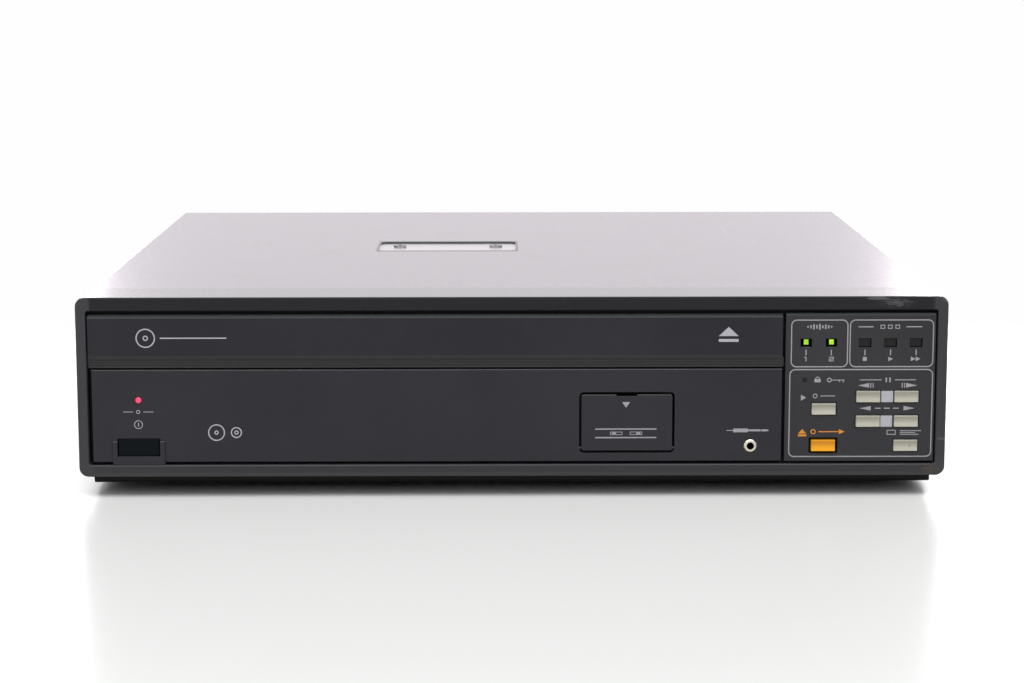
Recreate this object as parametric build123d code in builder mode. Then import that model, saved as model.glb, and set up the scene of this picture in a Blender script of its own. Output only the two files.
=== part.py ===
from build123d import *
import os
from math import pi, radians, tan

os.makedirs("parts", exist_ok=True)

# A front-loading laserdisc player, in millimetres. X runs to the right as seen from the
# front, the front faces -Y and Z is up. The origin is on the table, under the middle.

# ---------------------------------------------------------------- driving dimensions

# Overall
width = 420.0  # across the front frame
frame_height = 87.8
frame_lift = 10.2  # the frame's lower edge above the table
body_depth = 393.0  # the frame's front face to the cover's rear edge
key_proud = 1.0  # the key caps stand this far in front of the frame
top_z = frame_lift + frame_height
front_y = (key_proud - body_depth) / 2
rear_y = front_y + body_depth

# Clearances
slide_gap = 0.3  # between pieces that slide past each other
shaft_gap = 0.05  # radial, round a shaft or pin in its hole
sheet_gap = 0.3  # round a sheet or moulding that sits inside another
hole_gap = 0.3  # radial, round a screw in a plain hole

# Front frame
frame_depth = 33.0
frame_corner = 4.5
frame_edge = 0.7
side_bar = 4.85
top_bar = 6.6
bottom_bar = 5.7
opening_corner = 1.2
tongue_length = 8.0  # reaches back under the cover
ledge = 1.5  # stands in from the bars, behind the sub-chassis
ledge_thickness = 2.0
opening_x = width / 2 - side_bar
opening_low = frame_lift + bottom_bar
opening_high = top_z - top_bar

# Front panels
panel_inset = 1.2
panel_thickness = 3.0
panel_edge = 0.4
panel_y = front_y + panel_inset
panel_back_y = panel_y + panel_thickness
standoff = 2.0
panel_boss_radius = 2.2
panel_boss_inset = 4.0
board_post_radius = 1.3
board_post_inset = 5.0
chassis_thickness = 2.5
chassis_web = 4.0  # of sub-chassis left round the control panel's window
chassis_foot = 3.0  # of sub-chassis left under that window
chassis_bar_gap = 0.6
chassis_y = panel_back_y + standoff
chassis_back_y = chassis_y + chassis_thickness

# Control panel
control_width = 72.3
control_right_gap = 0.85
control_top_gap = 1.8
control_bottom_gap = 1.1
control_bevel = 1.0
control_right = opening_x - control_right_gap
control_left = control_right - control_width
control_top = opening_high - control_top_gap
control_bottom = opening_low + control_bottom_gap

# Tray front
tray_front_left_gap = 0.65
tray_front_right_gap = 1.5
tray_front_right = control_left - tray_front_right_gap
tray_front_top_gap = 2.1
tray_front_height = 25.8
tray_front_thickness = 5.0
tray_front_bevel = 1.6
lip_height = 5.0
lip_depth = 0.7
lip_grooves = 3
lip_groove_width = 0.7
end_lug = 0.4
end_lug_height = 4.3
tray_front_left = -opening_x + tray_front_left_gap
tray_front_top = opening_high - tray_front_top_gap
tray_front_bottom = tray_front_top - tray_front_height

# Lower panel
seam = 1.0  # between the tray front and the lower panel
lower_left_gap = 1.95
lower_bottom_gap = 1.3
lower_left = -opening_x + lower_left_gap
lower_right = tray_front_right
lower_top = tray_front_bottom - seam
lower_bottom = opening_low + lower_bottom_gap

# Keys: columns from the control panel's left edge, rows down from the frame's top edge
key_width = 11.8
key_height = 5.7
key_gap = 0.4
key_overlap = 0.5  # the flange behind the panel reaches this far past the hole
key_flange_thickness = 1.0
key_travel = 1.2
key_edge = 0.35
key_stem_radius = 1.5
key_column_left = control_left + 18.8
key_column_middle = control_left + 40.3
key_column_right = control_left + 58.75
play_row = 55.2
step_row = 49.15
scan_row = 61.25
bottom_row = 73.2
reject_gap = 1.1  # the reject key sits in a wider hole

# Lamps
audio_x = (control_left + 9.9, control_left + 22.05)
mode_x = (control_left + 38.25, control_left + 50.55, control_left + 62.9)
lamp_row = 22.9
audio_window = (5.6, 4.3)
mode_window = (6.1, 4.6)
audio_lamp_size = 2.6
mode_lamp_size = (4.4, 3.0)
key_lock_x = control_left + 9.4
key_lock_row = 41.0
key_lock_radius = 1.15
key_lock_inset = 0.3
lamp_gap = 0.1
power_lamp_x = 24.45 - opening_x
power_lamp_row = 50.2
power_lamp_radius = 1.5
power_lamp_length = 9.0
power_lamp_proud = 0.3
power_lamp_dome = 0.6

# Power button
button_x = 24.25 - opening_x
button_row = 73.5
button_width = 20.0
button_height = 8.2
button_proud = 0.3
button_travel = 3.0
button_gap = 0.35
button_stem_radius = 2.0
button_stem = 8.0
guard_bar = 2.3
guard_proud = 1.0
guard_floor = 0.05  # above the frame's lower bar
guard_step = 1.0  # the guard's ends stop below the button's upper edge
switch_depth = 22.0
switch_rim = 3.8

# Function door
door_x = lower_right - 74.95
door_row = 61.8
door_width = 44.1
door_height = 27.6
door_thickness = 2.5
door_corner = 1.2
door_gap_side = 1.1
door_gap_top = 1.3
door_gap_bottom = 1.2
door_notch = (10.1, 0.9)
hinge_setback = 1.5  # the hinge line behind the door's front face
hinge_rise = 1.0  # the hinge line above the door's lower edge
hinge_pin_radius = 0.8
hinge_pin_length = 1.2
compartment_wall = 2.0
compartment_depth = 12.0
slot_height = 3.0
slider_width = 4.0
slider_proud = 2.5
slider_travel = 2.0
slider_spacing = 18.0
switch_block_thickness = 6.0

# Control jack
jack_x = lower_right - 15.0
jack_row = 73.3
jack_hole_radius = 1.8
jack_ring_radius = 3.1
jack_proud = 0.6
jack_chamfer = 0.4
jack_bore_length = 14.0
jack_body = 12.0
jack_body_length = 16.0

# Boards
board_thickness = 1.6
board_standoff = 6.3
board_margin = 0.5
tact_body = 6.0
tact_height = 3.5

# Top cover
cover_thickness = 1.0
cover_drop = 0.4  # below the frame's top edge
cover_inset = 1.0  # inside the frame's sides
cover_bend = 3.0
window_x = -35.2
window_from_front = 211.0
window_width = 76.4
window_length = 41.5
window_corner = 4.0
plate_margin = 5.0
plate_thickness = 1.2
plate_screw_span = 54.1
plate_screw_from_front = 214.7
plate_screw_head = 3.8
plate_screw_radius = 2.0
plate_screw_length = 4.5
cross_width = 1.0
cross_length = 4.56
cross_depth = 0.7
cover_top = top_z - cover_drop
cover_under = cover_top - cover_thickness
cover_x = width / 2 - cover_inset
cover_inner_x = cover_x - cover_thickness

# Bottom pan
pan_clearance = 5.0  # the feet's visible height
pan_thickness = 1.2
pan_front_inset = 5.6  # inside the front frame's sides
pan_setback = 10.0
pan_corner = 2.5
pan_wall_height = 30.0
pan_floor = pan_clearance + pan_thickness
pan_front_x = width / 2 - pan_front_inset
pan_wall_x = cover_inner_x - sheet_gap

# Rear panel
rear_setback = 10.0  # inside the cover's rear edge
rear_thickness = 1.0
rear_flange = 10.0
rear_face_y = rear_y - rear_setback
rear_inner_y = rear_face_y - rear_thickness

# Feet and screws
foot_radius = 12.0
foot_from_side = 45.0
foot_x = width / 2 - foot_from_side
foot_from_ends = 46.5
foot_chamfer = 0.6
foot_bore = 4.0
foot_bore_depth = 3.4
foot_screw_radius = 1.5
foot_screw_head = 3.3
foot_screw_head_height = 1.4
foot_screw_reach = 3.0
cover_screw_radius = 1.8
cover_screw_head = 3.6
cover_screw_z = 22.0
cover_screw_from_ends = 75.0
cover_screw_reach = 5.0

# Disc tray: its well is the largest that its width and length leave room for
small_well_radius = 101.5
tray_side_gap = 7.5  # inside the tray front's ends
tray_side = 8.0  # of tray beside the well
tray_lead = 27.8  # of tray in front of the well
tray_rear_gap = 38.0  # between the tray and the rear panel
tray_rise = 4.5  # the tray's underside above the tray front's lower edge
tray_low = tray_front_bottom + tray_rise
tray_floor = 3.0
tray_height = 12.0
small_well_depth = 1.0
tray_rim = 6.0  # of tray behind the well
slot_half_width = 42.0
tray_travel = 315.0
runner_width = 3.0
runner_thickness = 3.0
runner_rise = 2.0
tail_gap = 1.0  # between the runners' tails and the rear panel
tail_bar_width = 11.0
tray_high = tray_low + tray_height
tray_front_y = panel_y + tray_front_thickness
tray_back_y = rear_inner_y - tray_rear_gap
tray_half_width = (tray_front_right - tray_front_left) / 2 - tray_side_gap
well_radius = min(
    tray_half_width - tray_side,
    (tray_back_y - tray_front_y - tray_rim - tray_lead) / 2,
)
disc_x = (tray_front_left + tray_front_right) / 2
disc_y = tray_back_y - tray_rim - well_radius

# Rails
rail_wall = 2.2
rail_flange = 2.9
rail_flange_thickness = 3.7
rail_cap = 1.7
rail_setback = 9.3  # behind the sub-chassis
rail_rear_gap = 10.0  # in front of the rear panel
rail_front_y = chassis_back_y + rail_setback
rail_back_y = rear_inner_y - rail_rear_gap

# Deck
deck_thickness = 1.5
deck_drop = 6.5  # the deck's upper face below the tray
deck_margin = 0.5  # outside the rails
deck_setback = 7.3  # behind the sub-chassis
deck_rear_gap = 6.0
deck_flange = 10.0
deck_top = tray_low - deck_drop
deck_low = deck_top - deck_thickness
deck_half_width = tray_half_width + runner_width + slide_gap + rail_wall + deck_margin
deck_left = disc_x - deck_half_width
deck_right = disc_x + deck_half_width
deck_front_y = chassis_back_y + deck_setback
deck_back_y = rear_inner_y - deck_rear_gap
deck_slot_setback = 32.0  # behind the disc's centre
deck_slot_web = 22.0  # left behind the slot
deck_slot_front_y = disc_y + deck_slot_setback
deck_slot_back_y = deck_back_y - deck_slot_web
damper_radius = 9.0
damper_height = 8.0
damper_groove = 1.5
pillar_radius = 6.0
pillar_from_side = 13.0
pillar_x = (deck_left + pillar_from_side, deck_right - pillar_from_side)
pillar_from_front = 60.0
pillar_from_back = 30.0
pillar_y = (deck_front_y + pillar_from_front, deck_back_y - pillar_from_back)

# Loading train
rack_module = 1.5
rack_thickness = 4.3
rack_offset = 147.0  # the rack's pitch line from the disc's middle
rack_back = 3.4  # of rack behind the roots
rack_spare = 6.0  # of rack left when the tray is out
root_depth = 1.2  # of a tooth below its pitch line, in modules
root_bite = 0.1  # how far a tooth's foot reaches into its wheel
tip_height = 0.9
pinion_teeth = 20
drive_from_deck_front = 25.0
wheel_module = 1.0
wheel_teeth = 50
wheel_drop = 6.0  # the wheel's lower face below the deck
wheel_thickness = 3.5
small_pinion_teeth = 12
pinion_margin = 0.5  # the small pinion is taller than the wheel at both ends
pinion_neck = 1.3  # the neck below it stands inside its pitch circle
tooth_backlash = 0.36
pressure_angle = 20.0
drive_shaft_radius = 4.0
collar_radius = 7.0
collar_gap = 0.2
pinion_clearance = 0.6
pulley_radius = 18.0
pulley_flange = 1.5
pulley_drop = 36.0  # the pulley's lower face below the deck
pulley_thickness = 4.0
stud_radius = 1.5
stud_end = 2.0  # of stud below the pulley
motor_pulley_radius = 4.0
motor_shaft_radius = 1.0
belt_span = 45.0
belt_width = 1.8
belt_thickness = 1.5
loading_motor_radius = 14.0
loading_motor_length = 28.0
motor_edge = 1.0
motor_shaft_end = 1.0  # of shaft below its pulley
drive_y = deck_front_y + drive_from_deck_front
rack_front_y = rail_front_y
rack_back_y = drive_y + tray_travel + rack_spare
rack_pitch_x = disc_x - rack_offset
wheel_z = deck_low - wheel_drop
pulley_z = deck_low - pulley_drop
pinion_pitch = rack_module * pinion_teeth / 2
wheel_pitch = wheel_module * wheel_teeth / 2
small_pitch = wheel_module * small_pinion_teeth / 2
drive_x = rack_pitch_x + pinion_pitch
pulley_x = drive_x + wheel_pitch + small_pitch
loading_motor_x = pulley_x + belt_span

# Spindle and clamper
spindle_radius = 2.0
spindle_motor_radius = 22.0
spindle_motor_length = 22.0
spindle_motor_edge = 1.5
spindle_end = 1.0  # the spindle stops this far above the motor's lower face
spindle_hole_gap = 2.0  # round the spindle, in the deck
turntable_radius = 35.0
turntable_thickness = 3.0
turntable_rise = 2.5  # above the floor of the tray's well
cone_radius = 17.4
cone_height = 2.8
cone_taper = 2.0
boss_radius = 9.0
boss_gap = 1.0  # above the deck
turntable_edge = 0.5
clamper_radius = 30.0
clamper_clearance = 0.5  # above the tray
clamper_thickness = 3.5
clamper_recess = 2.0
clamper_hub = 6.0
clamper_cap = 10.0
clamper_cap_thickness = 1.5
clamper_cone_gap = 1.1
arm_gap = 1.0  # between the clamper and the arm
arm_thickness = 1.5
arm_half_width = 26.0
arm_rib = 4.5
arm_hole = 8.0
arm_reach = 18.0  # of arm in front of the spindle
arm_tail = 3.5  # of arm behind its pins
arm_pin_radius = 2.0
arm_pin_end = 0.4  # the pin's end beyond the bracket
arm_block = (7.0, 3.0)  # round the pins: its depth, and its height below them
arm_half_span = 45.9
arm_pivot_from_deck_rear = 14.0
ear_thickness = 1.6
ear_gap = 0.5
bracket_front = 6.5
bracket_back = 6.0
bracket_web_drop = 4.0
bracket_ear_rise = 5.0
turntable_top = tray_low + tray_floor + turntable_rise
clamper_low = tray_high + clamper_clearance
arm_pivot_y = deck_back_y - arm_pivot_from_deck_rear
arm_pivot_z = clamper_low + clamper_thickness
arm_low = arm_pivot_z + arm_gap

# Tilt frame, pickup and its drive
frame_half_width = 50.0
frame_inner_half = 41.0
frame_motor_gap = 2.5  # behind the spindle motor
frame_rear_margin = 7.0  # behind the deck's slot
frame_end_bar = 6.0
frame_end_skin = 1.0  # of frame past the ends of the shafts
frame_drop = 14.0  # the frame's underside below the deck
frame_rise = 10.0
tilt_pin_setback = 3.0
tilt_pin_radius = 2.0
tilt_pin_length = 3.8
tilt_pin_root = 1.0
lug_size = (10.0, 5.0)  # its depth, and its height below the pin
lug_thickness = 3.2
lug_gap = 0.4
guide_radius = 3.0
guide_spacing = 66.0
carriage_half_width = 38.0
carriage_corner = 3.0
carriage_from_disc = 55.0  # when it is at its inner end
carriage_length = 36.0
carriage_depth = (7.0, 6.5)  # below and above the guide shafts
tower_width = 28.0
tower_length = 26.0
tower_rise = 2.0  # above the tray's underside
lens_radius = 4.0
lens_seat_depth = 4.0
lens_proud = 1.2
screw_radius = 2.5
screw_offset = 20.0
screw_drop = 2.0
screw_nut_gap = 0.3
screw_in_motor = 6.0
motor_socket_spare = 1.0  # of depth past a shaft's end in its motor
carriage_motor_radius = 8.0
carriage_motor_length = 17.0
tilt_arm_length = 18.0
tilt_arm_thickness = 4.0
tilt_arm_span = (9.0, 1.0)  # in front of and behind the frame's rear edge
tilt_cam_radius = 10.0
tilt_cam_throw = 2.4
tilt_cam_gap = 0.35
tilt_cam_from_rear = 4.0
tilt_cam_width = 10.0
tilt_motor_radius = 7.0
tilt_motor_length = 20.0
tilt_motor_plate = 16.0
tilt_motor_offset = 23.0  # its outer end beyond the tilt frame's arm
tilt_shaft_radius = 1.5
tilt_shaft_in_motor = 8.0
frame_front_y = disc_y + spindle_motor_radius + frame_motor_gap
frame_back_y = deck_slot_back_y + frame_rear_margin
frame_low = deck_low - frame_drop
tilt_pin_y = frame_front_y + tilt_pin_setback
guide_z = frame_low + frame_rise / 2
carriage_y = disc_y + carriage_from_disc
carriage_low = guide_z - carriage_depth[0]
carriage_high = guide_z + carriage_depth[1]
tower_top = tray_low + tower_rise
lens_seat = tower_top - lens_seat_depth
lens_top = tower_top + lens_proud
screw_x = disc_x + screw_offset
screw_z = guide_z - screw_drop
tilt_cam_y = frame_back_y - tilt_cam_from_rear
tilt_motor_left = disc_x - frame_half_width - tilt_arm_length - tilt_motor_offset

# Electronics
transformer_side_gap = 4.5  # inside the pan's wall
transformer_from_rear = 99.0
core_width = 64.0
core_depth = 34.0
core_height = 54.0
core_window = 10.0
core_edge = 1.0
bobbin_overhang = 12.0
transformer_x = pan_wall_x - pan_thickness - transformer_side_gap - core_width / 2
transformer_y = rear_inner_y - transformer_from_rear
main_board_side_gap = 36.5  # inside the pan's wall
main_board_width = 265.0
main_board_length = 260.0
main_board_from_rear = 46.0
main_board_left = main_board_side_gap + pan_thickness - pan_wall_x
main_board_right = main_board_left + main_board_width
main_board_back_y = rear_inner_y - main_board_from_rear
main_board_front_y = main_board_back_y - main_board_length
main_post_inset = 6.0
main_post_radius = 3.0
# The main board's parts are placed from its left and front edges.
capacitors = (  # across, back, radius, height
    (230.0, 230.0, 9.0, 26.0),
    (248.0, 204.0, 7.0, 22.0),
    (222.0, 204.0, 7.0, 22.0),
)
chips = (  # across, back, length, breadth
    (50.0, 60.0, 52.0, 14.0),
    (120.0, 40.0, 40.0, 14.0),
    (190.0, 60.0, 52.0, 14.0),
    (50.0, 120.0, 30.0, 10.0),
    (210.0, 130.0, 36.0, 12.0),
    (40.0, 190.0, 24.0, 24.0),
)
chip_height = 4.0
heat_sink = (250.0, 160.0, 6.0, 50.0, 26.0)  # across, back, length, breadth, height
socket_row_z = 40.0
socket_gap = 0.1
video_x = -150.0
video_radius = 4.8
video_bore = 3.4
audio_socket_x = (-120.0, -100.0)
audio_socket_radius = 4.1
audio_bore = 1.6
socket_reach = 9.0
socket_body = 12.0
control_socket_x = -50.0
control_socket_size = (39.0, 12.5)
control_shell_size = (25.0, 8.4)
control_socket_reach = 6.0
control_socket_depth = 8.0
inlet_x = pan_wall_x - 42.7
inlet_z = 32.0
inlet_body = (28.0, 20.0)
inlet_recess = (24.0, 16.0)
inlet_depth = 17.5
inlet_pin_length = 12.0
inlet_pin = (4.0, 2.0)
inlet_pin_spacing = 7.0
inlet_earth_offset = 2.0  # the middle pin is raised and the outer two lowered
inlet_wall = 2.0
inlet_flange = (44.0, 24.0)
inlet_flange_thickness = 2.5


# ----------------------------------------------------------------------- small helpers


def facing(y):
    """The plane at depth y whose sketch runs along X and Z."""
    return Plane.XZ.offset(-y)


def from_top(row):
    """A height given as a distance below the frame's top edge."""
    return top_z - row


def block(x, y, z, mode=Mode.ADD):
    """A box given by its two limits along each axis."""
    with Locations(((x[0] + x[1]) / 2, (y[0] + y[1]) / 2, (z[0] + z[1]) / 2)):
        Box(x[1] - x[0], y[1] - y[0], z[1] - z[0], mode=mode)


def about(middle, size):
    """The two limits of a size about its middle."""
    return (middle - size / 2, middle + size / 2)


def post(x, y, z, radius, mode=Mode.ADD):
    """An upright cylinder between two heights."""
    with Locations((x, y, (z[0] + z[1]) / 2)):
        Cylinder(radius, z[1] - z[0], mode=mode)


def rod_x(x, y, z, radius, mode=Mode.ADD):
    """A cylinder along X between two limits."""
    with Locations(((x[0] + x[1]) / 2, y, z)):
        Cylinder(radius, x[1] - x[0], rotation=(0, 90, 0), mode=mode)


def rod_y(x, y, z, radius, mode=Mode.ADD):
    """A cylinder along Y between two limits."""
    with Locations((x, (y[0] + y[1]) / 2, z)):
        Cylinder(radius, y[1] - y[0], rotation=(90, 0, 0), mode=mode)


def tooth(module, root, tip):
    """A straight-sided gear or rack tooth that points along +X from its pitch line."""
    half = pi * module / 4 - tooth_backlash / 2
    slope = tan(radians(pressure_angle))
    return [
        (-root, -half - root * slope),
        (tip, -half + tip * slope),
        (tip, half - tip * slope),
        (-root, half + root * slope),
    ]


def gear_outline(module, teeth, turn=0.0):
    """A spur gear's outline, with one tooth at the angle turn."""
    pitch = module * teeth / 2
    root = root_depth * module
    with BuildSketch() as outline:
        Circle(pitch - root + root_bite * module)
        with PolarLocations(pitch, teeth, start_angle=turn):
            Polygon(*tooth(module, root, tip_height * module), align=None)
    return outline.sketch


def inside_cover(low, high):
    """An outline just inside the cover, with its two upper corners rounded alike."""
    with BuildSketch() as outline:
        with Locations((0, (low + high) / 2)):
            Rectangle(2 * (cover_inner_x - sheet_gap), high - low)
        fillet(outline.vertices().group_by(Axis.Y)[-1], cover_bend)
    return outline.sketch


def save(piece, name):
    """Label a finished piece and write its STEP file."""
    piece.part.label = name
    export_step(piece.part, f"parts/{name}.step")


# --------------------------------------------------------------------------- the shell

# The front frame is one moulding: four bars, a tongue that the cover slides over and a
# ledge that the sub-chassis is pushed against from the front.
with BuildPart() as front_frame:
    with BuildSketch(facing(front_y)):
        with Locations((0, frame_lift + frame_height / 2)):
            RectangleRounded(width, frame_height, frame_corner)
        with Locations((0, (opening_low + opening_high) / 2)):
            RectangleRounded(
                2 * opening_x,
                opening_high - opening_low,
                opening_corner,
                mode=Mode.SUBTRACT,
            )
    extrude(amount=-frame_depth)
    fillet(front_frame.edges().group_by(Axis.Y)[0], frame_edge)
    with BuildSketch(facing(front_y + frame_depth)):
        add(inside_cover(frame_lift, cover_under - sheet_gap))
        with Locations((0, (opening_low + opening_high) / 2)):
            Rectangle(2 * opening_x, opening_high - opening_low, mode=Mode.SUBTRACT)
    extrude(amount=-tongue_length)
    with BuildSketch(facing(chassis_back_y)):
        with Locations((0, (opening_low + opening_high) / 2)):
            Rectangle(2 * opening_x, opening_high - opening_low)
            Rectangle(
                2 * (opening_x - ledge),
                opening_high - opening_low - 2 * ledge,
                mode=Mode.SUBTRACT,
            )
    extrude(amount=-ledge_thickness)
save(front_frame, "front_frame")

# The sub-chassis carries both fixed panels and the control board, and is open for the
# tray, the keys, the power button, the function switches and the jack.
tray_window = (
    (-opening_x + ledge, control_left - chassis_web / 2),
    (lower_top + chassis_bar_gap, opening_high - 2 * ledge),
)
control_window = (
    (control_left + 1.5 * chassis_web, control_right - chassis_web),
    (control_bottom + chassis_foot, control_top - chassis_web - chassis_bar_gap),
)
compartment_x = about(door_x, door_width + 2 * door_gap_side)
compartment_z = (
    from_top(door_row) - door_height / 2 - door_gap_bottom,
    from_top(door_row) + door_height / 2 + door_gap_top,
)
button_flange = button_gap + key_overlap
button_flange_x = about(button_x, button_width + 2 * button_flange)
button_flange_z = about(from_top(button_row), button_height + 2 * button_flange)
board_post_x = (
    control_left + chassis_web / 2,
    opening_x - ledge - board_post_radius - sheet_gap,
)
board_post_z = (
    control_bottom + board_post_inset,
    control_top - board_post_inset - chassis_bar_gap,
)
control_board_y = chassis_back_y + board_standoff
with BuildPart() as front_chassis:
    with BuildSketch(facing(chassis_y)):
        with Locations((0, (opening_low + opening_high) / 2)):
            RectangleRounded(
                2 * (opening_x - sheet_gap),
                opening_high - opening_low - 2 * sheet_gap,
                opening_corner,
            )
    extrude(amount=-chassis_thickness)
    through = (chassis_y - 1, chassis_back_y + 1)
    block(tray_window[0], through, tray_window[1], Mode.SUBTRACT)
    block(control_window[0], through, control_window[1], Mode.SUBTRACT)
    block(
        (
            compartment_x[0] - compartment_wall - sheet_gap,
            compartment_x[1] + compartment_wall + sheet_gap,
        ),
        through,
        (
            compartment_z[0] - compartment_wall - sheet_gap,
            compartment_z[1] + compartment_wall + sheet_gap,
        ),
        Mode.SUBTRACT,
    )
    block(
        (button_flange_x[0] - slide_gap, button_flange_x[1] + slide_gap),
        through,
        (button_flange_z[0] - slide_gap, button_flange_z[1] + slide_gap),
        Mode.SUBTRACT,
    )
    block(
        about(jack_x, jack_body + 2 * sheet_gap),
        through,
        about(from_top(jack_row), jack_body + 2 * sheet_gap),
        Mode.SUBTRACT,
    )
    rod_y(
        power_lamp_x,
        through,
        from_top(power_lamp_row),
        power_lamp_radius + hole_gap,
        Mode.SUBTRACT,
    )
    for x in (lower_left + panel_boss_inset, 0.0, lower_right - panel_boss_inset):
        for z in (lower_bottom + panel_boss_inset, lower_top - panel_boss_inset):
            rod_y(x, (panel_back_y, chassis_y), z, panel_boss_radius)
    for x in board_post_x:
        for z in board_post_z:
            rod_y(x, (panel_back_y, chassis_y), z, board_post_radius)
            rod_y(x, (chassis_back_y, control_board_y), z, board_post_radius)
save(front_chassis, "front_chassis")

# The lower panel has a walled compartment behind the function door.
with BuildPart() as lower_front_panel:
    block(
        (lower_left, lower_right), (panel_y, panel_back_y), (lower_bottom, lower_top)
    )
    fillet(lower_front_panel.edges().group_by(Axis.Y)[0], panel_edge)
    block(
        (compartment_x[0] - compartment_wall, compartment_x[1] + compartment_wall),
        (panel_back_y, panel_back_y + compartment_depth),
        (compartment_z[0] - compartment_wall, compartment_z[1] + compartment_wall),
    )
    compartment_middle = (
        door_x,
        (compartment_z[0] + compartment_z[1]) / 2,
    )
    with BuildSketch(facing(panel_y)):
        with Locations(compartment_middle):
            RectangleRounded(
                compartment_x[1] - compartment_x[0],
                compartment_z[1] - compartment_z[0],
                door_corner + door_gap_side,
            )
    extrude(amount=-(panel_thickness + compartment_depth), mode=Mode.SUBTRACT)
    door_low = from_top(door_row) - door_height / 2
    hinge_y = panel_y + hinge_setback
    hinge_z = door_low + hinge_rise
    hinge_reach = door_width / 2 + door_gap_side + hinge_pin_length
    rod_x(
        (door_x - hinge_reach, door_x + hinge_reach),
        hinge_y,
        hinge_z,
        hinge_pin_radius + shaft_gap,
        Mode.SUBTRACT,
    )
    block(
        about(button_x, button_width + 2 * button_gap),
        (panel_y - 1, panel_back_y + 1),
        about(from_top(button_row), button_height + 2 * button_gap),
        Mode.SUBTRACT,
    )
    rod_y(
        power_lamp_x,
        (panel_y - 1, panel_back_y + 1),
        from_top(power_lamp_row),
        power_lamp_radius + lamp_gap,
        Mode.SUBTRACT,
    )
    rod_y(
        jack_x,
        (panel_y - 1, panel_back_y + 1),
        from_top(jack_row),
        jack_ring_radius + lamp_gap,
        Mode.SUBTRACT,
    )
save(lower_front_panel, "lower_front_panel")

# Each key: its name, where it is and how much room its hole leaves round it.
keys = [
    ("play_key", key_column_left, play_row, key_gap),
    ("step_back_key", key_column_middle, step_row, key_gap),
    ("step_forward_key", key_column_right, step_row, key_gap),
    ("scan_back_key", key_column_middle, scan_row, key_gap),
    ("scan_forward_key", key_column_right, scan_row, key_gap),
    ("reject_key", key_column_left, bottom_row, reject_gap),
    ("display_key", key_column_right, bottom_row, key_gap),
]

# The control panel is open for seven keys, five lamp windows and the key-lock lamp.
with BuildPart() as control_panel:
    block(
        (control_left, control_right),
        (panel_y, panel_back_y),
        (control_bottom, control_top),
    )
    front_edges = control_panel.edges().group_by(Axis.Y)[0].sort_by(Axis.Z)
    chamfer(front_edges[-1], control_bevel)
    fillet(front_edges[0], panel_edge)
    with BuildSketch(facing(panel_y - 1)):
        for name, x, row, gap in keys:
            with Locations((x, from_top(row))):
                Rectangle(key_width + 2 * gap, key_height + 2 * gap)
        for x in audio_x:
            with Locations((x, from_top(lamp_row))):
                Rectangle(*audio_window)
        for x in mode_x:
            with Locations((x, from_top(lamp_row))):
                Rectangle(*mode_window)
        with Locations((key_lock_x, from_top(key_lock_row))):
            Circle(key_lock_radius + lamp_gap)
    extrude(amount=-panel_thickness - 2, mode=Mode.SUBTRACT)
save(control_panel, "control_panel")

# The tray front: a bevel along the top and a set-back lip with grooves at the bottom.
# Two small lugs at the lip's ends lie in the gaps beside it.
with BuildPart() as tray_front:
    block(
        (tray_front_left, tray_front_right),
        (panel_y, tray_front_y),
        (tray_front_bottom, tray_front_top),
    )
    front_edges = tray_front.edges().group_by(Axis.Y)[0].sort_by(Axis.Z)
    chamfer(front_edges[-1], tray_front_bevel)
    lip_top = tray_front_bottom + lip_height
    block(
        (tray_front_left, tray_front_right),
        (panel_y, panel_y + lip_depth),
        (tray_front_bottom, lip_top),
        Mode.SUBTRACT,
    )
    groove_pitch = lip_height / (lip_grooves + 1)
    for groove in range(lip_grooves):
        block(
            (tray_front_left, tray_front_right),
            (panel_y, panel_y + lip_depth + lip_groove_width / 2),
            about(tray_front_bottom + groove_pitch * (groove + 1), lip_groove_width),
            Mode.SUBTRACT,
        )
    lug_y = (panel_y + lip_depth + lip_groove_width, tray_front_y)
    lug_z = about(tray_front_bottom + lip_height / 2, end_lug_height)
    block((tray_front_left - end_lug, tray_front_left), lug_y, lug_z)
    block((tray_front_right, tray_front_right + 2 * end_lug), lug_y, lug_z)
save(tray_front, "tray_front")

# The steel cover is one folded sheet, open at the front, rear and bottom, with a
# rounded window over the transport plate.
window_y = front_y + window_from_front
cover_y = (front_y + frame_depth, rear_y)
with BuildPart() as top_cover:
    with BuildSketch(facing(cover_y[0])):
        with Locations((0, (frame_lift + cover_top) / 2)):
            Rectangle(2 * cover_x, cover_top - frame_lift)
        with Locations((0, (frame_lift + cover_under) / 2)):
            Rectangle(2 * cover_inner_x, cover_under - frame_lift, mode=Mode.SUBTRACT)
    extrude(amount=cover_y[0] - cover_y[1])
    bends = top_cover.edges().filter_by(Axis.Y).group_by(Axis.Z)
    fillet(bends[-1], cover_bend)
    fillet(bends[-2], cover_bend - cover_thickness)
    with BuildSketch(Plane.XY.offset(cover_top + 1)):
        with Locations((window_x, window_y)):
            RectangleRounded(window_width, window_length, window_corner)
    extrude(amount=-cover_thickness - 2, mode=Mode.SUBTRACT)
    cover_screw_y = (front_y + cover_screw_from_ends, rear_y - cover_screw_from_ends)
    for y in cover_screw_y:
        rod_x(
            (-cover_x - 1, cover_x + 1),
            y,
            cover_screw_z,
            cover_screw_radius + hole_gap,
            Mode.SUBTRACT,
        )
save(top_cover, "top_cover")

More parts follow.
